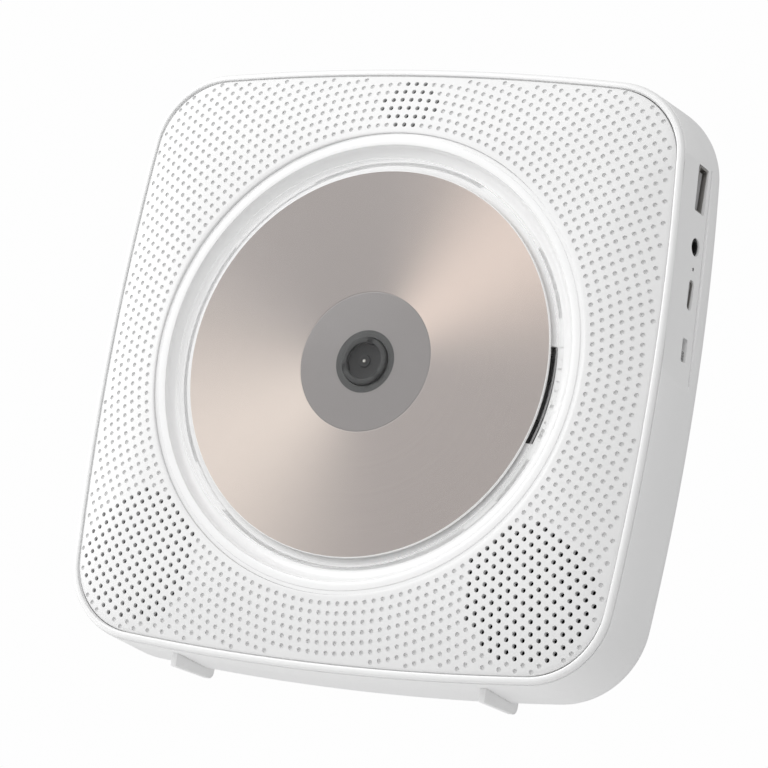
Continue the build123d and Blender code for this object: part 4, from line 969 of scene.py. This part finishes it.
def make_speakers():
    """Two drivers: rolled surround, paper cone, dust dome and the magnet behind."""
    drivers = []
    for side in (-1, 1):
        profile = [(0.0, 25.6)] + arc(0.0, 17.4, 8.2, 80, 50, 6)
        profile += [(5.6, 23.2), (7.0, 23.45), (15.6, 26.55)] + arc(17.9, 26.7, 1.6, 170, 10, 8)
        profile += [(20.3, 26.9), (20.4, 28.38), (21.3, 28.38), (21.3, 27.2), (20.2, 27.0)]
        profile += [(11.2, 20.4), (11.0, 19.4), (11.0, 13.4), (0.0, 13.4)]
        driver = turned("driver", profile, 64)
        driver.data.transform(Matrix.Translation((side * SPEAKER_X * MM, 0, SPEAKER_Z * MM)))
        drivers.append(driver)
    driver = combine(drivers)
    driver.name = driver.data.name = "speaker_drivers"
    finish_piece(driver, "body", ["speakers"], [cone_paper])


make_housing()
make_feet()
make_buttons()
make_usb()
make_jack()
make_charge_port()
make_switch()
make_rear_cover()
make_rear_screws()
make_speakers()


# ---- camera, light and floor --------------------------------------------------------------------------

camera_data = bpy.data.cameras.new("camera")
camera_data.lens = 149.27
camera_data.sensor_width = 36.0
camera_data.clip_end = 20.0
camera = bpy.data.objects.new("camera", camera_data)
camera.location = (0.44634, -0.85204, -0.19554)
camera.rotation_euler = (radians(101.669), radians(-9.7435), radians(26.1709))
bpy.context.scene.collection.objects.link(camera)
bpy.context.scene.camera = camera


def soft_light(name, place, target, size, power):
    light = bpy.data.lights.new(name, "AREA")
    light.shape = "RECTANGLE"
    light.size, light.size_y = size
    light.energy = power
    lamp = bpy.data.objects.new(name, light)
    lamp.location = place
    lamp.rotation_euler = (Vector(target) - Vector(place)).to_track_quat("-Z", "Y").to_euler()
    bpy.context.scene.collection.objects.link(lamp)


soft_light("key_light", (-0.98, -0.98, 0.80), (0.0, 0.0, 0.0), (1.0, 1.0), 10.4)
soft_light("side_light", (-1.552, -0.274, 0.278), (0.0, 0.0, 0.0), (1.0, 1.0), 10.5)
soft_light("top_light", (0.419, -1.152, 1.028), (0.0, 0.0, 0.0), (1.0, 1.0), 5.7)

# The room is a white sweep: bright where the camera sees it, a little less where it lights the object.
world = bpy.data.worlds.new("studio")
bpy.context.scene.world = world
world.use_nodes = True
world.node_tree.nodes.clear()
seen = add(world.node_tree, "ShaderNodeLightPath").outputs["Is Camera Ray"]
level_mix = add(world.node_tree, "ShaderNodeMix", {"A": ROOM_LIGHT, "B": ROOM_SEEN}, {"Factor": seen})
room = add(world.node_tree, "ShaderNodeBackground", {"Color": (1.0, 1.0, 1.0, 1.0)},
           {"Strength": level_mix.outputs["Result"]})
add(world.node_tree, "ShaderNodeOutputWorld", links={"Surface": room.outputs["Background"]})
bpy.context.scene.view_settings.view_transform = "Standard"

bpy.ops.object.select_all(action="DESELECT")
bpy.ops.mesh.primitive_plane_add(size=6.0, location=(0, 0, -0.5))
floor = bpy.context.object
floor.name = "floor"
floor.data.materials.append(shell_abs)
